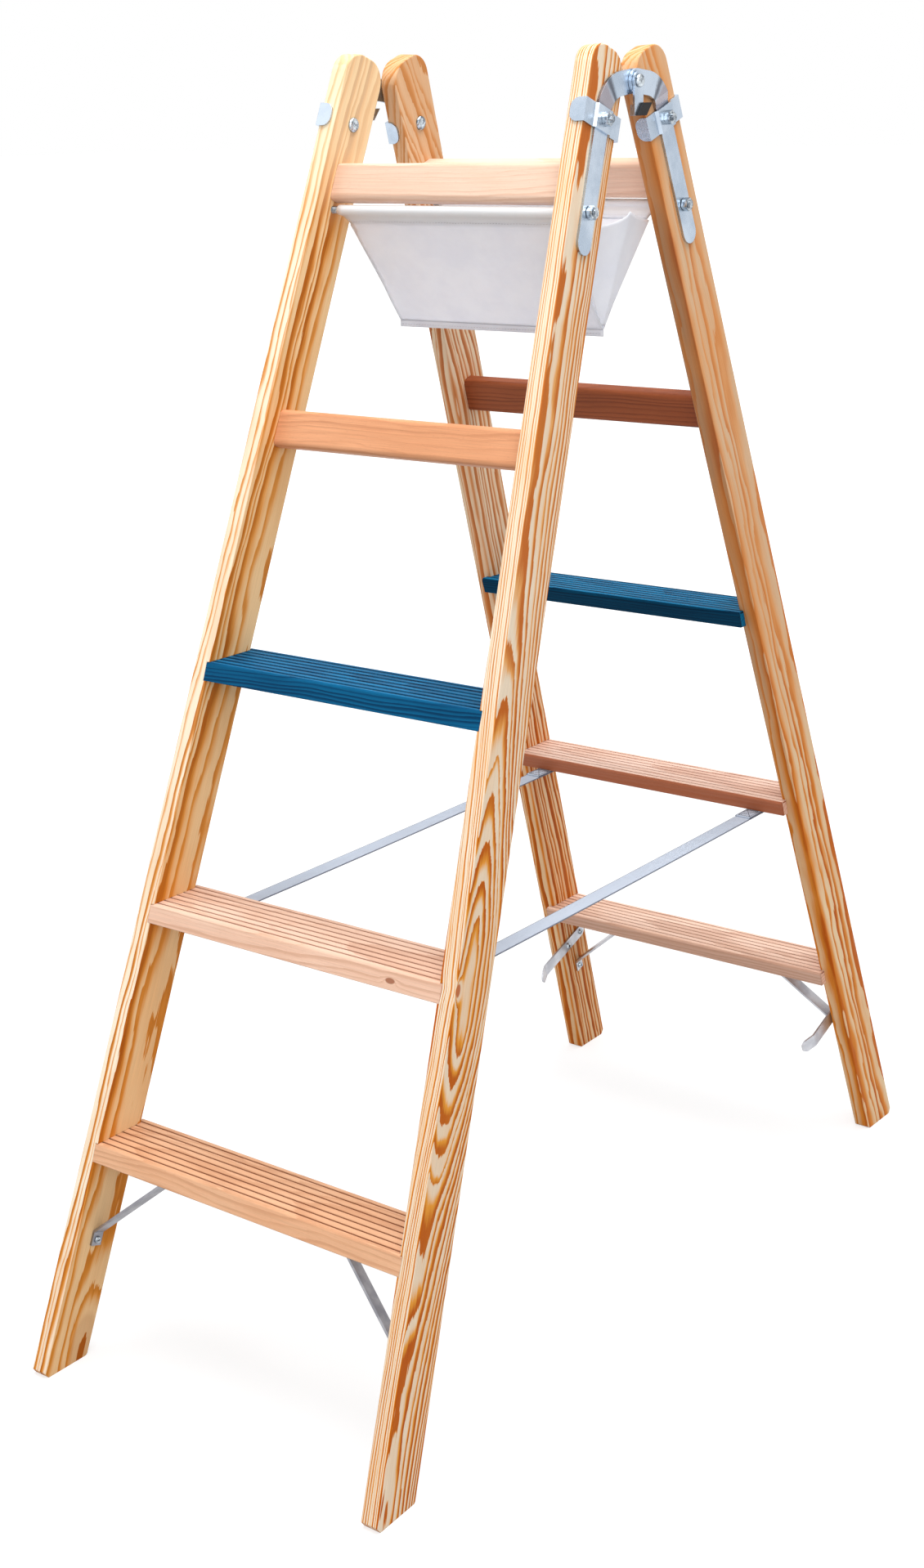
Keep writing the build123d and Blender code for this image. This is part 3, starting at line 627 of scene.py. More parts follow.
def cloth(name, tint, shade, rough, across, along, pitch, depth, glow=0.0, hem=None):
    """Woven fabric under a smooth coating; glow is the share of light that passes through it.

    hem is a lighter tint where the bag's cloth is doubled round the rods, painted light on the hems' round
    tops.
    """
    made, tree, shader = new_material(name)
    yarn = tree.group(WEAVE, {
        "Across": tuple(across), "Along": tuple(along), "Across Pitch": pitch, "Along Pitch": pitch,
    })
    marks = tree.group(PLATING, CLOTH_MARKS)
    base = tree.mix(tree.step(marks["Cloud"], *CLOTH_CLOUD), tint, shade)
    base = tree.mix(tree.times(yarn["Height"], YARN_SHADE), base, shade)
    # Painted light on the hems round the rods
    if hem:
        _, y, z = tree.parts(tree.place())
        inward = tree.math("SUBTRACT", ROD_Y, tree.math("ABSOLUTE", y))
        drop = tree.total(
            tree.times(inward, ROD_Y / BAG_LONG),
            tree.times(tree.math("SUBTRACT", ROD_Z, z), (ROD_Z - CREASE_Z) / BAG_LONG),
        )
        base = tree.mix(tree.step(drop, *HEM_LIGHT_DROP), base, hem)
    tree.put(shader.inputs["Base Color"], base)
    tree.put(shader.inputs["Roughness"], tree.around(marks["Scuff"], rough, CLOTH_GLOSS))
    bump(tree, shader, yarn["Height"], depth)
    shader.inputs["Subsurface Weight"].default_value = glow
    shader.inputs["Subsurface Radius"].default_value = (1.0, 1.0, 1.0)
    shader.inputs["Subsurface Scale"].default_value = GLOW_DEPTH
    return made


def thread(name, tint, shade, along):
    """Sewing thread, as a fine cloth."""
    return cloth(name, tint, shade, rough=0.6, across=(1, 0, 0), along=along, pitch=0.4, depth=0.1 * MM)


# Finishes

PINE_CREAM = colour(255, 240, 216)
PINE_TAN = colour(200, 152, 120)
# Painted shade for the inner narrow faces of the rear stiles
PINE_PAINTED_SHADE = colour(208, 189, 174)
# Painted light above the upper rung of the front left stile
PINE_TOP_LIGHT = colour(250, 226, 184)
PINE_GOLD = colour(204, 144, 84)
PINE_TONES = {
    "front_left": (colour(246, 207, 156), colour(228, 147, 56), colour(174, 88, 10)),
    "front_right": (colour(240, 220, 194), colour(236, 158, 56), colour(186, 84, 4)),
    "rear_left": (colour(244, 206, 160), colour(226, 134, 46), colour(176, 80, 4)),
    "rear_right": (colour(246, 214, 172), colour(230, 142, 50), colour(196, 92, 10)),
}
PINE_RINGS = {
    "front_left": {
        "Pith Depth": 58.0, "Pith Thickness": -100.0, "Drift Depth": 0.03, "Ring Width": 7.0, "Wave": 2.5,
        "Late Start": 0.35, "Seed": 9.0,
        "Knot Depth": 50.0, "Knot Length": 40.0, "Knot Size": 11.0, "Knot Shade": 0.25,
    },
    "front_right": {
        "Pith Depth": 4.0, "Pith Thickness": -60.0, "Ring Width": 2.9, "Wave": 1.6, "Late Start": 0.53,
        "Seed": 2.0, "Hump Length": 560.0, "Hump Spread": 240.0, "Hump Depth": 18.0, "Hump Thickness": 20.0,
        "Knot Depth": 5.0, "Knot Length": 556.0, "Knot Size": 2.2,
    },
    "rear_left": {
        "Pith Depth": -50.0, "Pith Thickness": 108.0, "Ring Width": 4.6, "Wave": 4.0, "Late Start": 0.45,
        "Seed": 6.0, "Hump Length": 1640.0, "Hump Spread": 260.0, "Hump Depth": 60.0, "Hump Thickness": -14.0,
    },
    "rear_right": {
        "Pith Depth": -60.0, "Pith Thickness": -120.0, "Ring Width": 8.5, "Wave": 3.0, "Late Start": 0.3,
        "Seed": 13.0, "Knot Depth": 4.0, "Knot Length": 300.0, "Knot Height": 21.0, "Knot Round": 1.0,
        "Knot Size": 3.0, "Knot Slim": 0.13,
    },
}
# Contrast of the grain at the foot and the share of it that is left higher up. Then shares of other
# tones, where a pair is for the lower and the upper part: tan or pale all over, cream on the climbing
# face, painted shade on the inner edge. fine thins the lines of the climbing face, and top is a tone with
# its share above the upper rung: painted light on the front left stile, a deeper gold on the rear left one
PINE_STILES = {
    "front_left": {"contrast": 1.0, "upper": 0.88, "cream": (0.9, 0.8), "fine": 0.22,
                   "top": (PINE_TOP_LIGHT, 0.55)},
    "front_right": {"contrast": 1.4, "upper": 0.58, "cream": (0.0, 0.35), "fine": 0.16},
    "rear_left": {"contrast": 1.25, "upper": 0.55, "pale": (0.0, 0.55), "inner": (0.0, 0.25),
                  "top": (PINE_GOLD, 0.55)},
    "rear_right": {"contrast": 1.35, "upper": 0.4, "tan": (0.0, 0.5), "inner": (0.35, 1.0)},
}
BEECH = (colour(232, 182, 144), colour(216, 154, 112), colour(148, 82, 46))
BEECH_ROSE = (colour(238, 200, 176), colour(222, 170, 138), colour(152, 88, 56))
BEECH_BLUSH = (colour(250, 214, 192), colour(236, 186, 156), colour(152, 86, 52))
BEECH_DUSK = (colour(246, 211, 192), colour(230, 180, 152), colour(162, 78, 32))
BEECH_TAN = (colour(226, 162, 120), colour(208, 138, 94), colour(146, 80, 44))
BEECH_PALE = (colour(234, 202, 180), colour(224, 180, 150), colour(176, 112, 74))
# Darker beech of the rear lower rung, painted shade: its face towards the front leans down
BEECH_PAINTED_SHADE = (colour(160, 86, 50), colour(124, 60, 32), colour(84, 38, 18))
BLUE = (colour(16, 107, 153), colour(5, 62, 102), colour(4, 26, 52))
BLUE_RIDGE = colour(12, 130, 182)
BLUE_DEEP = (colour(14, 122, 170), colour(0, 64, 104), colour(0, 18, 38))

zinc = metal("zinc_plate", colour(196, 208, 222), colour(172, 186, 202), rough=0.27, cloud=40.0)
zinc_arm = metal(
    "zinc_hinge_arm", colour(196, 208, 222), colour(174, 188, 204), rough=0.27, cloud=40.0, seed=1.0,
    # Painted reflections of the wood and of dark surroundings across the arms' necks
    neck_reflection_tones=(colour(150, 136, 140), colour(72, 72, 82)),
)
zinc_parts = metal(
    "zinc_fastener", colour(206, 214, 220), colour(104, 112, 122), rough=0.22, cloud=4.0, seed=2.0,
    soft_edge=0.3,
)
zinc_rod = metal(
    "zinc_threaded_rod", colour(206, 214, 220), colour(120, 128, 138), rough=0.25, cloud=6.0, seed=3.0,
    soft_edge=0.3, thread=1.0,
)
# Metal of the front braces, darker with painted shade on their broad faces
aluminium_in_painted_shade = metal(
    "painted_shade_aluminium", colour(162, 162, 167), colour(136, 136, 143), rough=0.4, cloud=24.0, seed=5.0,
)
aluminium_bright = metal(
    "bright_aluminium", colour(200, 201, 206), colour(174, 175, 182), rough=0.34, cloud=24.0, seed=6.0,
)
black_grip = metal(
    "black_grip", colour(20, 19, 19), colour(12, 11, 11), rough=0.5, cloud=6.0, seed=8.0, soft_edge=0.8,
    metallic=0.0, shine=0.25,
)


def dress(name, material):
    """Gives a node of the part one material, in all its slots."""
    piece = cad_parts[name]
    if not piece.material_slots:
        piece.data.materials.append(material)
    for slot in piece.material_slots:
        slot.material = material


for half_name, half in HALVES.items():
    for side_name, side in SIDES.items():
        key = half_name + "_" + side_name
        stile = PINE_STILES[key]
        pine = wood(
            "pine_" + key, stile_axes(side, half), PINE_RINGS[key], PINE_TONES[key], stile["contrast"],
            drift=0.25, gloss=0.45, shine=0.06, stile=stile,
        )
        dress(half_name + "_stile_" + side_name, pine)

# Depth, grain and thickness of the steps and rungs
BAR_AXES = (Vector((0, 1, 0)), Vector((1, 0, 0)), Vector((0, 0, 1)))
# Tones, contrast of the grain, and the share of painted shade on the long edge that faces the front
BARS = {
    "front_step_low": (BEECH, 0.24, 0.0), "front_step_middle": (BEECH_ROSE, 0.26, 0.0),
    "front_step_blue": (BLUE, 0.5, 0.3), "front_rung_lower": (BEECH_TAN, 0.2, 0.0),
    "front_rung_upper": (BEECH_PALE, 0.2, 0.0), "rear_step_low": (BEECH_BLUSH, 0.24, 0.4),
    "rear_step_middle": (BEECH_DUSK, 0.26, 0.9), "rear_step_blue": (BLUE_DEEP, 0.5, 0.8),
    "rear_rung_lower": (BEECH_PAINTED_SHADE, 0.4, 0.0), "rear_rung_upper": (BEECH_PALE, 0.2, 0.0),
}
STEP_KNOT = {
    "Knot Depth": 3.4, "Knot Length": 140.0, "Knot Height": 9.0, "Knot Round": 1.0, "Knot Size": 1.9,
}


def bar_rings(number, blue):
    """Each bar is cut from another place of its log; the blue ones have the closer rings."""
    return {
        "Pith Depth": 30.0 + 9 * (number % 4), "Pith Thickness": -70.0 - 12 * (number % 3),
        "Drift Depth": 0.02, "Drift Thickness": 0.035, "Ring Width": 3.0 if blue else 5.5,
        "Wave": 4.0 if blue else 7.0, "Seed": 11.0 + 2.3 * number,
    }


for number, (name, (tones, contrast, edge_shade)) in enumerate(BARS.items()):
    low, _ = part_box(name)
    blue = "blue" in name
    rings = bar_rings(number, blue)
    if name == "front_step_middle":
        rings.update(STEP_KNOT)
    dress(name, wood(
        "bar_" + name, (Vector((0, low[1], low[2])), *BAR_AXES), rings, tones, contrast, drift=0.35,
        gloss=0.48, shine=0.04 if blue else 0.18, fleck=0.14, edge_shade=edge_shade,
        tread=HALVES[name.split("_")[0]] if "step" in name else 0, ridge=BLUE_RIDGE if blue else None,
    ))

# The finish of each other part, by the first of these words that its name holds
FINISHES = {
    "tie_rod": zinc_rod, "bolts": zinc_parts, "nuts": zinc_parts, "screws": zinc_parts,
    "rivets": zinc_parts, "plates": zinc_parts, "hinge_arm": zinc_arm, "_clamp_": zinc,
    "latch_lever": zinc, "rear_brace": aluminium_bright, "closing_guide": aluminium_bright,
    "front_brace": aluminium_in_painted_shade, "latch_grip": black_grip,
}
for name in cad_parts:
    finish = next((finish for word, finish in FINISHES.items() if word in name), None)
    if finish:
        dress(name, finish)

# Mesh helpers


def grid_mesh(name, rows, close=False):
    """A quad mesh through rows of points, each row the same length."""
    points = [tuple(point) for row in rows for point in row]
    wide = len(rows[0])
    faces = []
    for i in range(len(rows) - 1):
        for j in range(wide - (0 if close else 1)):
            k = (j + 1) % wide
            faces.append((i * wide + j, i * wide + k, (i + 1) * wide + k, (i + 1) * wide + j))
    mesh = bpy.data.meshes.new(name)
    mesh.from_pydata(points, [], faces)
    mesh.update()
    return mesh


def finished_mesh(name, work):
    """The mesh of a bmesh that is done."""
    mesh = bpy.data.meshes.new(name)
    work.to_mesh(mesh)
    work.free()
    return mesh


def add_tube(work, loops):
    """Adds a closed tube to a bmesh, through rings of as many vertices each."""
    wide = len(loops[0])
    for first, second in zip(loops, loops[1:]):
        for k in range(wide):
            work.faces.new((first[k], first[(k + 1) % wide], second[(k + 1) % wide], second[k]))
    work.faces.new(loops[0][::-1])
    work.faces.new(loops[-1])


def new_piece(name, mesh, material, smooth=True):
    """An object in the scene, with one material."""
    piece = bpy.data.objects.new(name, mesh)
    bpy.context.scene.collection.objects.link(piece)
    mesh.materials.append(material)
    if smooth:
        mesh.polygons.foreach_set("use_smooth", [True] * len(mesh.polygons))
    return piece


def apply_modifiers(piece):
    """Makes what a piece shows with its modifiers its own mesh."""
    shown = bpy.context.evaluated_depsgraph_get()
    done = bpy.data.meshes.new_from_object(piece.evaluated_get(shown))
    piece.modifiers.clear()
    piece.data = done
    return piece


def thicken(piece, thick):
    """Gives a sheet its thickness, half of it to each side."""
    made = piece.modifiers.new("thickness", "SOLIDIFY")
    made.thickness = thick
    made.offset = 0.0
    made.use_even_offset = True
    return apply_modifiers(piece)


# Radius at both ends of a stitch, as a share of its thread's
STITCH_TIP = 0.45


def stitch_mesh(name, runs, radius, sides=6):
    """Threads: each run is a list of points, drawn as one short rounded tube."""
    work = bmesh.new()
    for run in runs:
        loops = []
        for i, point in enumerate(run):
            ahead = (run[min(i + 1, len(run) - 1)] - run[max(i - 1, 0)]).normalized()
            side = ahead.orthogonal().normalized()
            other = ahead.cross(side)
            slim = radius * (STITCH_TIP if i in (0, len(run) - 1) else 1.0)
            loops.append([
                work.verts.new(point + (side * math.cos(a) + other * math.sin(a)) * slim)
                for a in (2 * math.pi * k / sides for k in range(sides))
            ])
        add_tube(work, loops)
    return finished_mesh(name, work)


# Screw heads

RECESS_REACH = 1.75 * MM
RECESS_HALF = 0.45 * MM
RECESS_DEEP = 0.5 * MM
RECESS_LIFT = 0.04 * MM
# Radians from the recess of one screw to the next one's
RECESS_TURN = 0.9
WELD_GAP = 0.001 * MM
RIM_SLACK = 0.02 * MM
SCREW_BODIES = {
    "front_brace_screws": "front_half", "front_strap_screws": "front_half", "rear_brace_screws": "rear_half",
    "rear_strap_screws": "rear_half", "guide_screws": "rear_half",
}
# Painted shade inside the cross recesses of the screw heads
painted_recess_shade = metal("painted_recess_shade", colour(64, 66, 70), colour(38, 39, 42), rough=0.5, cloud=3.0, seed=12.0)


def loose_parts(work):
    """Lists of the faces of a bmesh that hang together."""
    left = set(work.faces)
    parts = []
    for start in work.faces:
        if start not in left:
            continue
        left.discard(start)
        part, queue = [], [start]
        while queue:
            face = queue.pop()
            part.append(face)
            for near in (other for edge in face.edges for other in edge.link_faces):
                if near in left:
                    left.discard(near)
                    queue.append(near)
        parts.append(part)
    return parts


def head_tops(name):
    """Middle of each screw's flat top and the way out of it; the rim under the head is its largest flat."""
    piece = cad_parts[name]
    work = bmesh.new()
    work.from_mesh(piece.data)
    work.transform(piece.matrix_world)
    bmesh.ops.remove_doubles(work, verts=work.verts, dist=WELD_GAP)
    tops = []
    for part in loose_parts(work):
        flats = {}
        for face in part:
            key = tuple(round(value, 2) for value in face.normal)
            flats[key] = flats.get(key, 0.0) + face.calc_area()
        out = -Vector(max(flats, key=flats.get)).normalized()
        points = {corner.index: corner.co for face in part for corner in face.verts}
        far = max(point.dot(out) for point in points.values())
        rim = [point for point in points.values() if point.dot(out) > far - RIM_SLACK]
        tops.append((sum(rim, Vector()) / len(rim), out))
    work.free()
    return tops


def cross_recess(name, tops):
    """A small cross let into each screw head, each turned its own way, dark with painted shade."""
    work = bmesh.new()
    for number, (middle, out) in enumerate(tops):
        level = out.orthogonal().normalized()
        side = out.cross(level)
        outline = []
        for quarter in range(4):
            turn = math.pi / 2 * quarter + RECESS_TURN * number
            ahead = level * math.cos(turn) + side * math.sin(turn)
            beside = out.cross(ahead)
            outline += [
                ahead * RECESS_REACH - beside * RECESS_HALF,
                ahead * RECESS_REACH + beside * RECESS_HALF,
                ahead * RECESS_HALF + beside * RECESS_HALF,
            ]
        above = [work.verts.new(middle + point + out * RECESS_LIFT) for point in outline]
        below = [work.verts.new(middle + point - out * RECESS_DEEP) for point in outline]
        work.faces.new(above)
        work.faces.new(below[::-1])
        for k in range(len(outline)):
            n = (k + 1) % len(outline)
            work.faces.new((above[n], above[k], below[k], below[n]))
    return new_piece(name, finished_mesh(name, work), painted_recess_shade, False)


for name, body in SCREW_BODIES.items():
    recess = cross_recess(name.replace("screws", "screw_recess"), head_tops(name))
    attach(recess, body)

# Tool bag

BAG_THICK = 1.2 * MM
BAG_END_GAP = 9 * MM
BAG_TOP_HALF = half_width(ROD_UP) - BAG_END_GAP
SHOULDER_IN = 9 * MM
BAG_SHOULDER_HALF = BAG_TOP_HALF - SHOULDER_IN
BOTTOM_IN = 1 * MM
BAG_BOTTOM_HALF = BAG_SHOULDER_HALF - BOTTOM_IN
BAG_SHOULDER = 26 * MM
HEM_RADIUS = 5 * MM
# Degrees round the rod between which the hem is round, and the drops where flap and outer face go on
HEM_TURN = (26, 338)
FLAP_TOP = 7 * MM
FACE_TOP = 9 * MM
HEM_FLAP = 19 * MM
FLAP_GAP = 1.3 * MM
STITCH_DROP = 15 * MM
BELLY_START = 12 * MM
RIPPLE_REACH = 14 * MM
# How the panel narrows from its hem to its shoulder
SHOULDER_CURVE = 1.6
# How far the cloth stands out in millimetres: its belly, drag lines, ripples at the hem and corners
BELLY_OUT = 3.0
DRAG_OUT = 0.8
RIPPLE_OUT = 0.35
CORNER_OUT = 1.6
# The power that sets the belly above the middle, the slack at mid width, waves of the drag lines across
# and down, waves of the ripples, and the reach of a corner as a share of the panel
BELLY_HIGH = 0.85
LEAST_SLACK = 0.4
DRAG_WAVES = (7, 9)
RIPPLE_WAVES = 27
CORNER_REACH = 0.16
PANEL_COLUMNS = 48
FLAP_ROWS = 6
HEM_ROWS = 27
FACE_ROWS = 40
# What each panel ends short of the crease, and the phase of its folds
PANEL_SHORT = {"front": 1.0 * MM, "rear": 2.6 * MM}
PANEL_PHASE = {"front": 0.6, "rear": 2.1}
# Stitches in a row, how far each of their points stands out of the cloth in millimetres, thread radius
HEM_STITCHES = 74
HEM_STITCH_RISE = (-0.3, 0.25, 0.3, 0.25, -0.3)
HEM_THREAD = 0.32 * MM
SEAM_STITCHES = 70
SEAM_STITCH_RISE = (-0.3, 0.35, 0.4, 0.35, -0.3)
SEAM_THREAD = 0.3 * MM
# Part of its own step that a stitch covers, and part of the row's width that is sewn
STITCH_SPAN = (0.14, 0.86)
ROW_SHARE = 0.985
# Drop below the crease and half thickness of the bottom seam, and the drop of its stitches
SEAM_PROFILE = (
    (-3.2 * MM, 0.3 * MM), (-2.2 * MM, 1.0 * MM), (0.0, 1.25 * MM), (3.0 * MM, 1.15 * MM),
    (5.6 * MM, 1.05 * MM), (6.4 * MM, 0.7 * MM), (6.6 * MM, 0.15 * MM),
)
SEAM_COLUMNS = 60
# Waves of the seam: how far each goes in millimetres, how close its waves are, and its phase
SEAM_WAVES = ((0.35, 9, 0.8), (0.2, 23, 0.0))
SEAM_STITCH_DROP = 3.4 * MM
SEAM_STITCH_HALF = 1.0 * MM

# The hem tint is painted light on the hems' round tops
white_coat = cloth(
    "white_coated_fabric", colour(234, 237, 246), colour(226, 229, 240), rough=0.42, across=(1, 0, 0),
    along=(0, -0.59, -0.81), pitch=1.1, depth=0.05 * MM, glow=0.6, hem=colour(252, 253, 255),
)
white_thread = thread("white_thread", colour(226, 225, 230), colour(196, 196, 204), (0, 0, 1))


def bag_axes(half):
    """Rod centre, way down the panel and way into the bag, for one panel."""
    rod = Vector((0, half * ROD_Y, ROD_Z))
    down = Vector((0, -half * ROD_Y, CREASE_Z - ROD_Z)) / BAG_LONG
    inward = Vector((0, half * down.z, abs(down.y)))
    return rod, down, inward


def panel_half(drop):
    """Half width of a bag panel at a drop below the rod."""
    if drop <= HEM_RADIUS:
        return BAG_TOP_HALF
    if drop < BAG_SHOULDER:
        share = (drop - HEM_RADIUS) / (BAG_SHOULDER - HEM_RADIUS)
        return BAG_TOP_HALF + (BAG_SHOULDER_HALF - BAG_TOP_HALF) * (1 - (1 - share) ** SHOULDER_CURVE)
    share = (drop - BAG_SHOULDER) / (BAG_LONG - BAG_SHOULDER)
    return BAG_SHOULDER_HALF + (BAG_BOTTOM_HALF - BAG_SHOULDER_HALF) * share


def panel_belly(across, drop, phase):
    """How far the cloth stands out of its plane: a slack belly, drag lines and ripples at the hem."""
    lower = min(max((drop - BELLY_START) / (BAG_LONG - BELLY_START), 0.0), 1.0)
    belly = BELLY_OUT * math.sin(math.pi * lower ** BELLY_HIGH) * (1 - across ** 4)
    slack = math.sin(math.pi * lower) * (LEAST_SLACK + (1 - LEAST_SLACK) * abs(across))
    drag = DRAG_OUT * math.sin(DRAG_WAVES[0] * across + DRAG_WAVES[1] * lower + phase) * slack
    ripple = RIPPLE_OUT * math.sin(RIPPLE_WAVES * across + phase)
    ripple *= math.exp(-((drop - STITCH_DROP) / RIPPLE_REACH) ** 2)
    corner = CORNER_OUT * math.exp(-((1 - abs(across)) / CORNER_REACH) ** 2)
    corner *= math.exp(-((lower - CORNER_REACH) / CORNER_REACH) ** 2)
    return (belly + drag + ripple + corner) * MM


def panel_point(half, across, drop, lift, phase):
    """Point of a panel; across is -1 to 1, lift stands out of the bag."""
    rod, down, inward = bag_axes(half)
    out = panel_belly(across, drop, phase) + lift
    return rod + Vector((across * panel_half(drop), 0, 0)) + down * drop - inward * out


def hem_point(half, across, angle, radius):
    """Point of the hem; the angle starts below the rod and goes round by the inside of the bag."""
    rod, down, inward = bag_axes(half)
    turn = down * math.cos(angle) + inward * math.sin(angle)
    return rod + Vector((across * BAG_TOP_HALF, 0, 0)) + turn * radius


def bag_panel(name, half, end, phase):
    """One panel: inside flap, hem round the rod, outer face down to the crease."""
    stations = [i / PANEL_COLUMNS * 2 - 1 for i in range(PANEL_COLUMNS + 1)]
    rows = []
    for drop in np.linspace(HEM_FLAP, FLAP_TOP, FLAP_ROWS):
        rows.append([panel_point(half, a, float(drop), -FLAP_GAP, phase) for a in stations])
    for angle in np.radians(np.linspace(*HEM_TURN, HEM_ROWS)):
        rows.append([hem_point(half, a, float(angle), HEM_RADIUS) for a in stations])
    for drop in np.linspace(FACE_TOP, end, FACE_ROWS):
        rows.append([panel_point(half, a, float(drop), 0.0, phase) for a in stations])
    return thicken(new_piece(name, grid_mesh(name, rows), white_coat), BAG_THICK)


def stitch_row(count, rises):
    """The stitches of a row from -1 to 1, each as pairs of its points' place across and rise."""
    start, end = STITCH_SPAN
    for i in range(count):
        shares = np.linspace(i + start, i + end, len(rises)) / count
        yield [((2 * float(share) - 1) * ROW_SHARE, rise * MM) for share, rise in zip(shares, rises)]


def hem_stitches(half, phase, lift):
    """Stitches across a panel below its hem, each with its ends sunk in the cloth."""
    return [
        [panel_point(half, across, STITCH_DROP, lift + rise, phase) for across, rise in stitch]
        for stitch in stitch_row(HEM_STITCHES, HEM_STITCH_RISE)
    ]


def seam_rows():
    """Both panels sewn together in a short flange, which waves more towards its lower edge."""
    lowest = SEAM_PROFILE[-1][0]
    rows = []
    for drop, thick in SEAM_PROFILE:
        row = []
        for side in (-1, 1):
            for i in range(SEAM_COLUMNS + 1):
                across = (2 * i / SEAM_COLUMNS - 1) * -side
                wave = sum(far * math.sin(close * across + phase) for far, close, phase in SEAM_WAVES)
                lean = wave * MM * max(drop, 0.0) / lowest
                row.append(Vector((across * BAG_BOTTOM_HALF, side * thick + lean, CREASE_Z - drop)))
        rows.append(row)
    return rows


def seam_stitches():
    """Stitches along both faces of the bottom seam."""
    level = CREASE_Z - SEAM_STITCH_DROP
    return [
        [
            Vector((across * BAG_BOTTOM_HALF, face * (SEAM_STITCH_HALF + rise), level))
            for across, rise in stitch
        ]
        for face in (-1, 1)
        for stitch in stitch_row(SEAM_STITCHES, SEAM_STITCH_RISE)
    ]


for half_name, half in HALVES.items():
    phase = PANEL_PHASE[half_name]
    body = "bag_" + half_name
    panel = bag_panel(body + "_cloth", half, BAG_LONG - PANEL_SHORT[half_name], phase)
    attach(panel, body)
    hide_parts("bag_" + half_name + "_panel")
    threads = hem_stitches(half, phase, BAG_THICK / 2)
    threads += hem_stitches(half, phase, -BAG_THICK / 2 - FLAP_GAP)
    seam = new_piece(body + "_hem_thread", stitch_mesh("hem_thread", threads, HEM_THREAD), white_thread)
    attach(seam, body)

flange_mesh = grid_mesh("bag_bottom_seam", seam_rows(), close=True)
flange = new_piece("bag_bottom_seam", flange_mesh, white_coat)
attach(flange, "bag_front")
flange_stitches = stitch_mesh("bottom_thread", seam_stitches(), SEAM_THREAD)
flange_thread = new_piece("bag_bottom_thread", flange_stitches, white_thread)
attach(flange_thread, "bag_front")

# Ends of the tool bag

GUSSET_FOLD_OUT = 32 * MM
GUSSET_EAR = 8.5 * MM
GUSSET_RISE = 17 * MM
GUSSET_EDGE_RISE = 4 * MM
GUSSET_THICK = 1.0 * MM
GUSSET_SEAT_IN = 1.0 * MM
GUSSET_LAP = 1.2 * MM
GUSSET_TUCK = 2.0 * MM
GUSSET_FOOT_IN = 0.5 * MM
GUSSET_FOOT_UP = 5.0 * MM
GUSSET_FOOT_HALF = 1.6 * MM
GUSSET_ROWS = 32
LEAF_COLUMNS = 26
# Share of a leaf before it turns in to the panel, and how blunt the fold between the leaves is
LEAF_SHARE = 0.88
FOLD_BLUNT = 0.003
# How far the front leaf (-1) and the rear one (1) sink in and hang down
LEAF_HOLLOW = {-1: 3.0 * MM, 1: 2.0 * MM}
LEAF_DIP = {-1: 7.5 * MM, 1: 0.8 * MM}
# Powers that bring the hang of a leaf near its fold and its top, and the part over which its foot spreads
DIP_FOLD = 0.65
DIP_TOP = 3
FOOT_SPREAD = 0.25


def gusset(name, side):
    """End of the bag: two leaves that stand out to an upright fold, highest in the middle."""
    rod, down, inward = bag_axes(-1)
    seat = rod + down * BAG_SHOULDER + inward * GUSSET_SEAT_IN
    wide = -seat.y
    foot = Vector((BAG_BOTTOM_HALF - GUSSET_FOOT_IN, 0, CREASE_Z + GUSSET_FOOT_UP))
    blunt = math.sqrt(FOLD_BLUNT)
    rows = []
    for i in range(GUSSET_ROWS + 1):
        up = i / GUSSET_ROWS
        row = []
        for j in range(-LEAF_COLUMNS, LEAF_COLUMNS + 1):
            half = 1 if j > 0 else -1
            far = abs(j) / LEAF_COLUMNS
            leaf = min(far / LEAF_SHARE, 1.0)
            turn = max((far - LEAF_SHARE) / (1 - LEAF_SHARE), 0.0)
            soft = (math.sqrt(leaf * leaf + FOLD_BLUNT) - blunt) / (math.sqrt(1 + FOLD_BLUNT) - blunt)
            x = BAG_SHOULDER_HALF + GUSSET_EAR + (GUSSET_FOLD_OUT - GUSSET_EAR) * (1 - soft)
            x -= LEAF_HOLLOW[half] * math.sin(math.pi * leaf)
            x -= (GUSSET_EAR + GUSSET_TUCK) * turn
            y = half * (leaf * (wide - GUSSET_LAP) + turn * GUSSET_LAP)
            z = seat.z + GUSSET_EDGE_RISE * (1 - turn) + (GUSSET_RISE - GUSSET_EDGE_RISE) * (1 - leaf)
            z -= LEAF_DIP[half] * math.sin(math.pi * leaf ** DIP_FOLD) * up ** DIP_TOP
            low = foot + Vector((0, half * GUSSET_FOOT_HALF * min(far / FOOT_SPREAD, 1.0), 0)) * (1 - up)
            point = low + (Vector((x, y, z)) - foot) * up
            row.append(Vector((side * point.x, point.y, point.z)))
        rows.append(row)
    return thicken(new_piece(name, grid_mesh(name, rows), white_coat), GUSSET_THICK)


for side_name, side in SIDES.items():
    piece = gusset("bag_gusset_cloth_" + side_name, side)
    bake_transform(piece)
    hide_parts("bag_gusset_" + side_name)

# Webbing straps

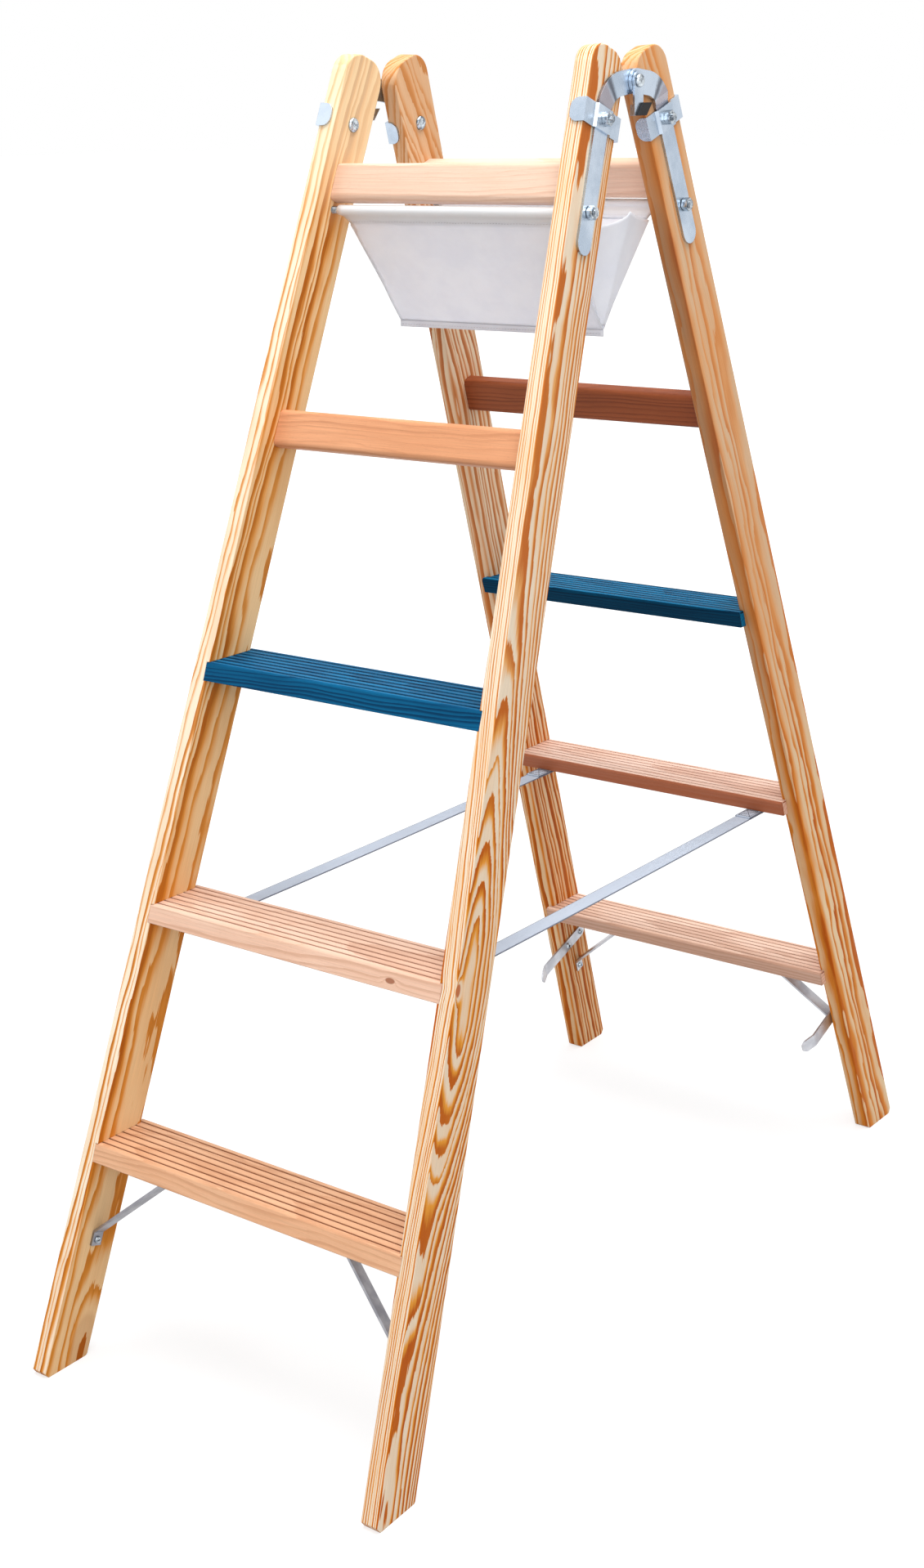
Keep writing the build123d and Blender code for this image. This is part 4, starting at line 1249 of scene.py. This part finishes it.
STRAP_WIDE = 22 * MM
STRAP_THICK = 1.6 * MM
STRAP_INSET = 39 * MM
STRAP_SEAT_GAP = 0.4 * MM
STRAP_SCREW_IN = 34 * MM
STRAP_TAIL = 14 * MM
TURN_BACK = 76 * MM
STRAP_SAG = 1.2 * MM
LOOP_IN = 2 * MM
SELVEDGE = (9.7 * MM, 10.0 * MM)
WEB_HALF = STRAP_THICK * 0.42
LAYER_UP = STRAP_THICK * 0.9
STRAP_X = half_width(2 * STEP_PITCH) - STRAP_INSET
STEP_UNDER = 2 * STEP_PITCH * math.cos(LEAN) - STEP_THICK
STRAP_MID_Z = STEP_UNDER - STRAP_SEAT_GAP - 1.5 * STRAP_THICK
STEP_EDGE = FOOT_Y - STEP_UNDER * math.tan(LEAN) - STEP_DEPTH
STRAP_END = STEP_EDGE + STRAP_SCREW_IN + STRAP_TAIL
FOLD_IN = STRAP_END - TURN_BACK
# Boxed cross stitches: half width, gaps to the layer's two ends, pitch, part of a pitch that a stitch
# covers, rise of its points in millimetres, thread radius
BOX_HALF = 8.2 * MM
BOX_INNER_GAP = 3 * MM
BOX_OUTER_GAP = 1.5 * MM
BOX_PITCH = 2.6 * MM
BOX_SPAN = (0.12, 0.88)
BOX_RISE = (-0.25, 0.3, 0.3, -0.25)
BOX_THREAD = 0.34 * MM
BOX_LEAST = 4
# Stations along the free length, along a doubled part and round the loop, and steps round a selvedge
BAND_STATIONS = 61
LAYER_STATIONS = 9
LOOP_STEPS = 8
EDGE_STEPS = 6
# Tints of the webbing, of its raised yarns and of its selvedge lines, with the shares of the last two
WEB_TINT = colour(192, 202, 218)
WEB_YARN = colour(216, 223, 234)
WEB_LINE = colour(70, 76, 96)
WEB_YARN_SHARE = 0.3
WEB_LINE_SHARE = 0.85


def webbing_material():
    """Grey webbing with a dark line along each selvedge."""
    made, tree, shader = new_material("grey_webbing")
    yarn = tree.group(WEAVE, {
        "Across": (1, 0, 0), "Along": (0, 1, 0), "Across Pitch": 0.9, "Along Pitch": 1.3,
    })
    x = tree.parts(tree.place())[0]
    off = tree.math("ABSOLUTE", tree.math("SUBTRACT", tree.math("ABSOLUTE", x), STRAP_X))
    base = tree.mix(tree.times(yarn["Height"], WEB_YARN_SHARE), WEB_TINT, WEB_YARN)
    base = tree.mix(tree.times(tree.step(off, *SELVEDGE), WEB_LINE_SHARE), base, WEB_LINE)
    tree.put(shader.inputs["Base Color"], base)
    tree.put(shader.inputs["Roughness"], tree.around(yarn["Yarn"], 0.66, 0.06))
    bump(tree, shader, yarn["Height"], 0.2 * MM)
    shader.inputs["Sheen Weight"].default_value = 0.15
    return made


webbing = webbing_material()
dark_thread = thread("dark_thread", colour(52, 56, 70), colour(30, 32, 42), (0, 1, 0))


def webbing_section():
    """Outline of the webbing: flat faces with rounded selvedges, as (across, up) pairs."""
    points = []
    for side in (1, -1):
        centre = side * (STRAP_WIDE / 2 - WEB_HALF)
        for k in range(EDGE_STEPS + 1):
            angle = math.radians(180 / EDGE_STEPS * k - 90 * side)
            points.append((centre + WEB_HALF * math.cos(angle), WEB_HALF * math.sin(angle)))
    return points


def webbing_run(work, x, path):
    """Adds one closed run of webbing to a bmesh, along a path of (y, z, tilt) stations."""
    loops = []
    for y, z, tilt in path:
        loops.append([
            work.verts.new((x + across, y - up * math.sin(tilt), z + up * math.cos(tilt)))
            for across, up in webbing_section()
        ])
    add_tube(work, loops)


def box_stitches(x):
    """Stitches of a box and its diagonals through both layers, on both faces and at both ends."""
    inner, outer = FOLD_IN + BOX_INNER_GAP, STEP_EDGE - BOX_OUTER_GAP
    corners = [(-BOX_HALF, outer), (BOX_HALF, outer), (BOX_HALF, inner), (-BOX_HALF, inner)]
    lines = [(corners[k], corners[(k + 1) % 4]) for k in range(4)]
    lines += [(corners[0], corners[2]), (corners[1], corners[3])]
    faces = ((STRAP_MID_Z - WEB_HALF, -1), (STRAP_MID_Z + LAYER_UP + WEB_HALF, 1))
    start, end = BOX_SPAN
    runs = []
    for half, (level, face), ((x0, y0), (x1, y1)) in itertools.product((-1, 1), faces, lines):
        count = max(BOX_LEAST, round(math.hypot(x1 - x0, y1 - y0) / BOX_PITCH))
        for i in range(count):
            shares = np.linspace(i + start, i + end, len(BOX_RISE)) / count
            runs.append([
                Vector((
                    x + x0 + (x1 - x0) * share, half * (y0 + (y1 - y0) * share), level + face * rise * MM,
                ))
                for share, rise in zip(shares, BOX_RISE)
            ])
    return runs


def strap_band(name, x):
    """The free length of a strap with its doubled ends and boxed cross stitches."""
    work = bmesh.new()
    stations = np.linspace(-STEP_EDGE, STEP_EDGE, BAND_STATIONS)
    webbing_run(work, x, [
        (float(y), STRAP_MID_Z - STRAP_SAG * (1 - (y / STEP_EDGE) ** 2), 0.0) for y in stations
    ])
    for half in (-1, 1):
        doubled = np.linspace(half * STEP_EDGE, half * FOLD_IN, LAYER_STATIONS)
        webbing_run(work, x, [(float(y), STRAP_MID_Z + LAYER_UP, 0.0) for y in doubled])
    woven = len(work.faces)
    work.from_mesh(stitch_mesh("box_thread", box_stitches(x), BOX_THREAD))
    work.faces.ensure_lookup_table()
    for face in work.faces[woven:]:
        face.material_index = 1
    work.normal_update()
    piece = new_piece(name, finished_mesh(name, work), webbing)
    piece.data.materials.append(dark_thread)
    return piece


def strap_end(name, x, half):
    """A strap end under the step: folded back on itself."""
    bend_y = STRAP_END - LOOP_IN
    radius = LAYER_UP / 2
    stations = [float(y) for y in np.linspace(STEP_EDGE, bend_y, LAYER_STATIONS)]
    path = [(half * y, STRAP_MID_Z, 0.0) for y in stations]
    for k in range(1, LOOP_STEPS):
        angle = math.pi * k / LOOP_STEPS
        rise = radius * (1 - math.cos(angle))
        path.append((half * (bend_y + radius * math.sin(angle)), STRAP_MID_Z + rise, half * angle))
    path += [(half * y, STRAP_MID_Z + LAYER_UP, half * math.pi) for y in reversed(stations)]
    work = bmesh.new()
    webbing_run(work, x, path)
    bmesh.ops.recalc_face_normals(work, faces=work.faces)
    return new_piece(name, finished_mesh(name, work), webbing)


# The straps: each band goes with the front half and each folded-back end with its own half
for side_name, side in SIDES.items():
    band = strap_band("strap_band_" + side_name, side * STRAP_X)
    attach(band, "front_half")
    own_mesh(band)
    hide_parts("strap_" + side_name)
    for half_name, half in HALVES.items():
        end = strap_end("strap_" + half_name + "_end_" + side_name, side * STRAP_X, half)
        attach(end, half_name + "_half")

# Floor, light and camera

FLOOR_HALF = 60.0
FLOOR_PLAIN = (0.5, 0.5, 0.5, 1)
FLOOR_SEEN = (0.42, 0.42, 0.42, 1)
WHITE = (1, 1, 1, 1)
# Distance over which the floor's own light grows, and how strong it is at both ends
GLOW_REACH = (1.0, 4.0)
GLOW_STRENGTH = (0.66, 1.0)
SKY_TINT = (0.96, 0.98, 1.0, 1)
SKY_STRENGTH = 0.55
LIGHT_AIM = Vector((0, 0, 0.7))


def seen_share(tree):
    """1 for what the camera sees, also by way of shiny or clear surfaces, and 0 for other light."""
    path = tree.add("ShaderNodeLightPath").outputs
    thrown = tree.math("MAXIMUM", path["Is Glossy Ray"], path["Is Transmission Ray"])
    return tree.math("MAXIMUM", path["Is Camera Ray"], thrown)


def pale_floor():
    """A floor that looks white and still shows the object's shadow."""
    made = bpy.data.materials.new("pale_floor")
    tree = empty_tree(made)
    far = tree.length(tree.place())
    plain = tree.add("ShaderNodeBsdfDiffuse", {"Color": FLOOR_PLAIN}).outputs[0]
    lit = tree.add("ShaderNodeBsdfDiffuse", {"Color": FLOOR_SEEN}).outputs[0]
    strength = tree.step(far, *GLOW_REACH, *GLOW_STRENGTH)
    glow = tree.add("ShaderNodeEmission", {"Color": WHITE, "Strength": strength}).outputs[0]
    both = tree.add("ShaderNodeAddShader", {0: lit, 1: glow}).outputs[0]
    shown = tree.add("ShaderNodeMixShader", {0: seen_share(tree), 1: plain, 2: both}).outputs[0]
    tree.add("ShaderNodeOutputMaterial", {"Surface": shown})
    return made


floor_ends = (-FLOOR_HALF, FLOOR_HALF)
floor_mesh = grid_mesh("floor", [[Vector((x, y, 0)) for x in floor_ends] for y in floor_ends])
floor = new_piece("floor", floor_mesh, pale_floor(), False)

world = bpy.data.worlds.new("studio")
bpy.context.scene.world = world
sky = empty_tree(world)
ambient = sky.add("ShaderNodeBackground", {"Color": SKY_TINT, "Strength": SKY_STRENGTH}).outputs[0]
white = sky.add("ShaderNodeBackground", {"Color": WHITE, "Strength": 1.0}).outputs[0]
both = sky.add("ShaderNodeMixShader", {0: seen_share(sky), 1: ambient, 2: white}).outputs[0]
sky.add("ShaderNodeOutputWorld", {"Surface": both})


def soft_light(name, place, size, power):
    """A square lamp that looks at the middle of the ladder."""
    lamp = bpy.data.lights.new(name, "AREA")
    lamp.size = size
    lamp.energy = power
    made = bpy.data.objects.new(name, lamp)
    made.location = place
    made.rotation_mode = "QUATERNION"
    made.rotation_quaternion = (LIGHT_AIM - Vector(place)).to_track_quat("-Z", "Y")
    bpy.context.scene.collection.objects.link(made)


soft_light("top_light", place=(0.3, -0.2, 3.6), size=2.6, power=104)
soft_light("key_light", place=(2.4, -2.8, 2.5), size=2.2, power=41)
soft_light("fill_light", place=(-2.5, -2.5, 1.8), size=3.2, power=18)

# Camera solved from the photograph, with its image of 1130 by 1918 pixels
IMAGE_WIDE, IMAGE_HIGH = 1130, 1918
FOCAL_PIXELS = 2642.826
CENTRE_PIXEL = (502.875, 952.887)
AZIMUTH, ELEVATION, ROLL = (math.radians(v) for v in (37.817, 17.242, -1.292))
DISTANCE = 2.68616
TARGET = Vector((-0.139764, 0, 0.581314))
back = Vector((
    math.sin(AZIMUTH) * math.cos(ELEVATION), -math.cos(AZIMUTH) * math.cos(ELEVATION), math.sin(ELEVATION),
))
level = (-back).cross(Vector((0, 0, 1))).normalized()
upright = level.cross(-back)
right = level * math.cos(ROLL) + upright * math.sin(ROLL)
up = upright * math.cos(ROLL) - level * math.sin(ROLL)
view = bpy.data.cameras.new("photo_camera")
view.sensor_width = 36.0
view.lens = FOCAL_PIXELS / IMAGE_HIGH * view.sensor_width
view.shift_x = (IMAGE_WIDE / 2 - CENTRE_PIXEL[0]) / IMAGE_HIGH
view.shift_y = (CENTRE_PIXEL[1] - IMAGE_HIGH / 2) / IMAGE_HIGH
camera = bpy.data.objects.new("photo_camera", view)
place = TARGET + back * DISTANCE
camera.matrix_world = Matrix((
    (right.x, up.x, back.x, place.x),
    (right.y, up.y, back.y, place.y),
    (right.z, up.z, back.z, place.z),
    (0, 0, 0, 1),
))
bpy.context.scene.collection.objects.link(camera)
bpy.context.scene.camera = camera
bpy.context.scene.view_settings.view_transform = "Standard"
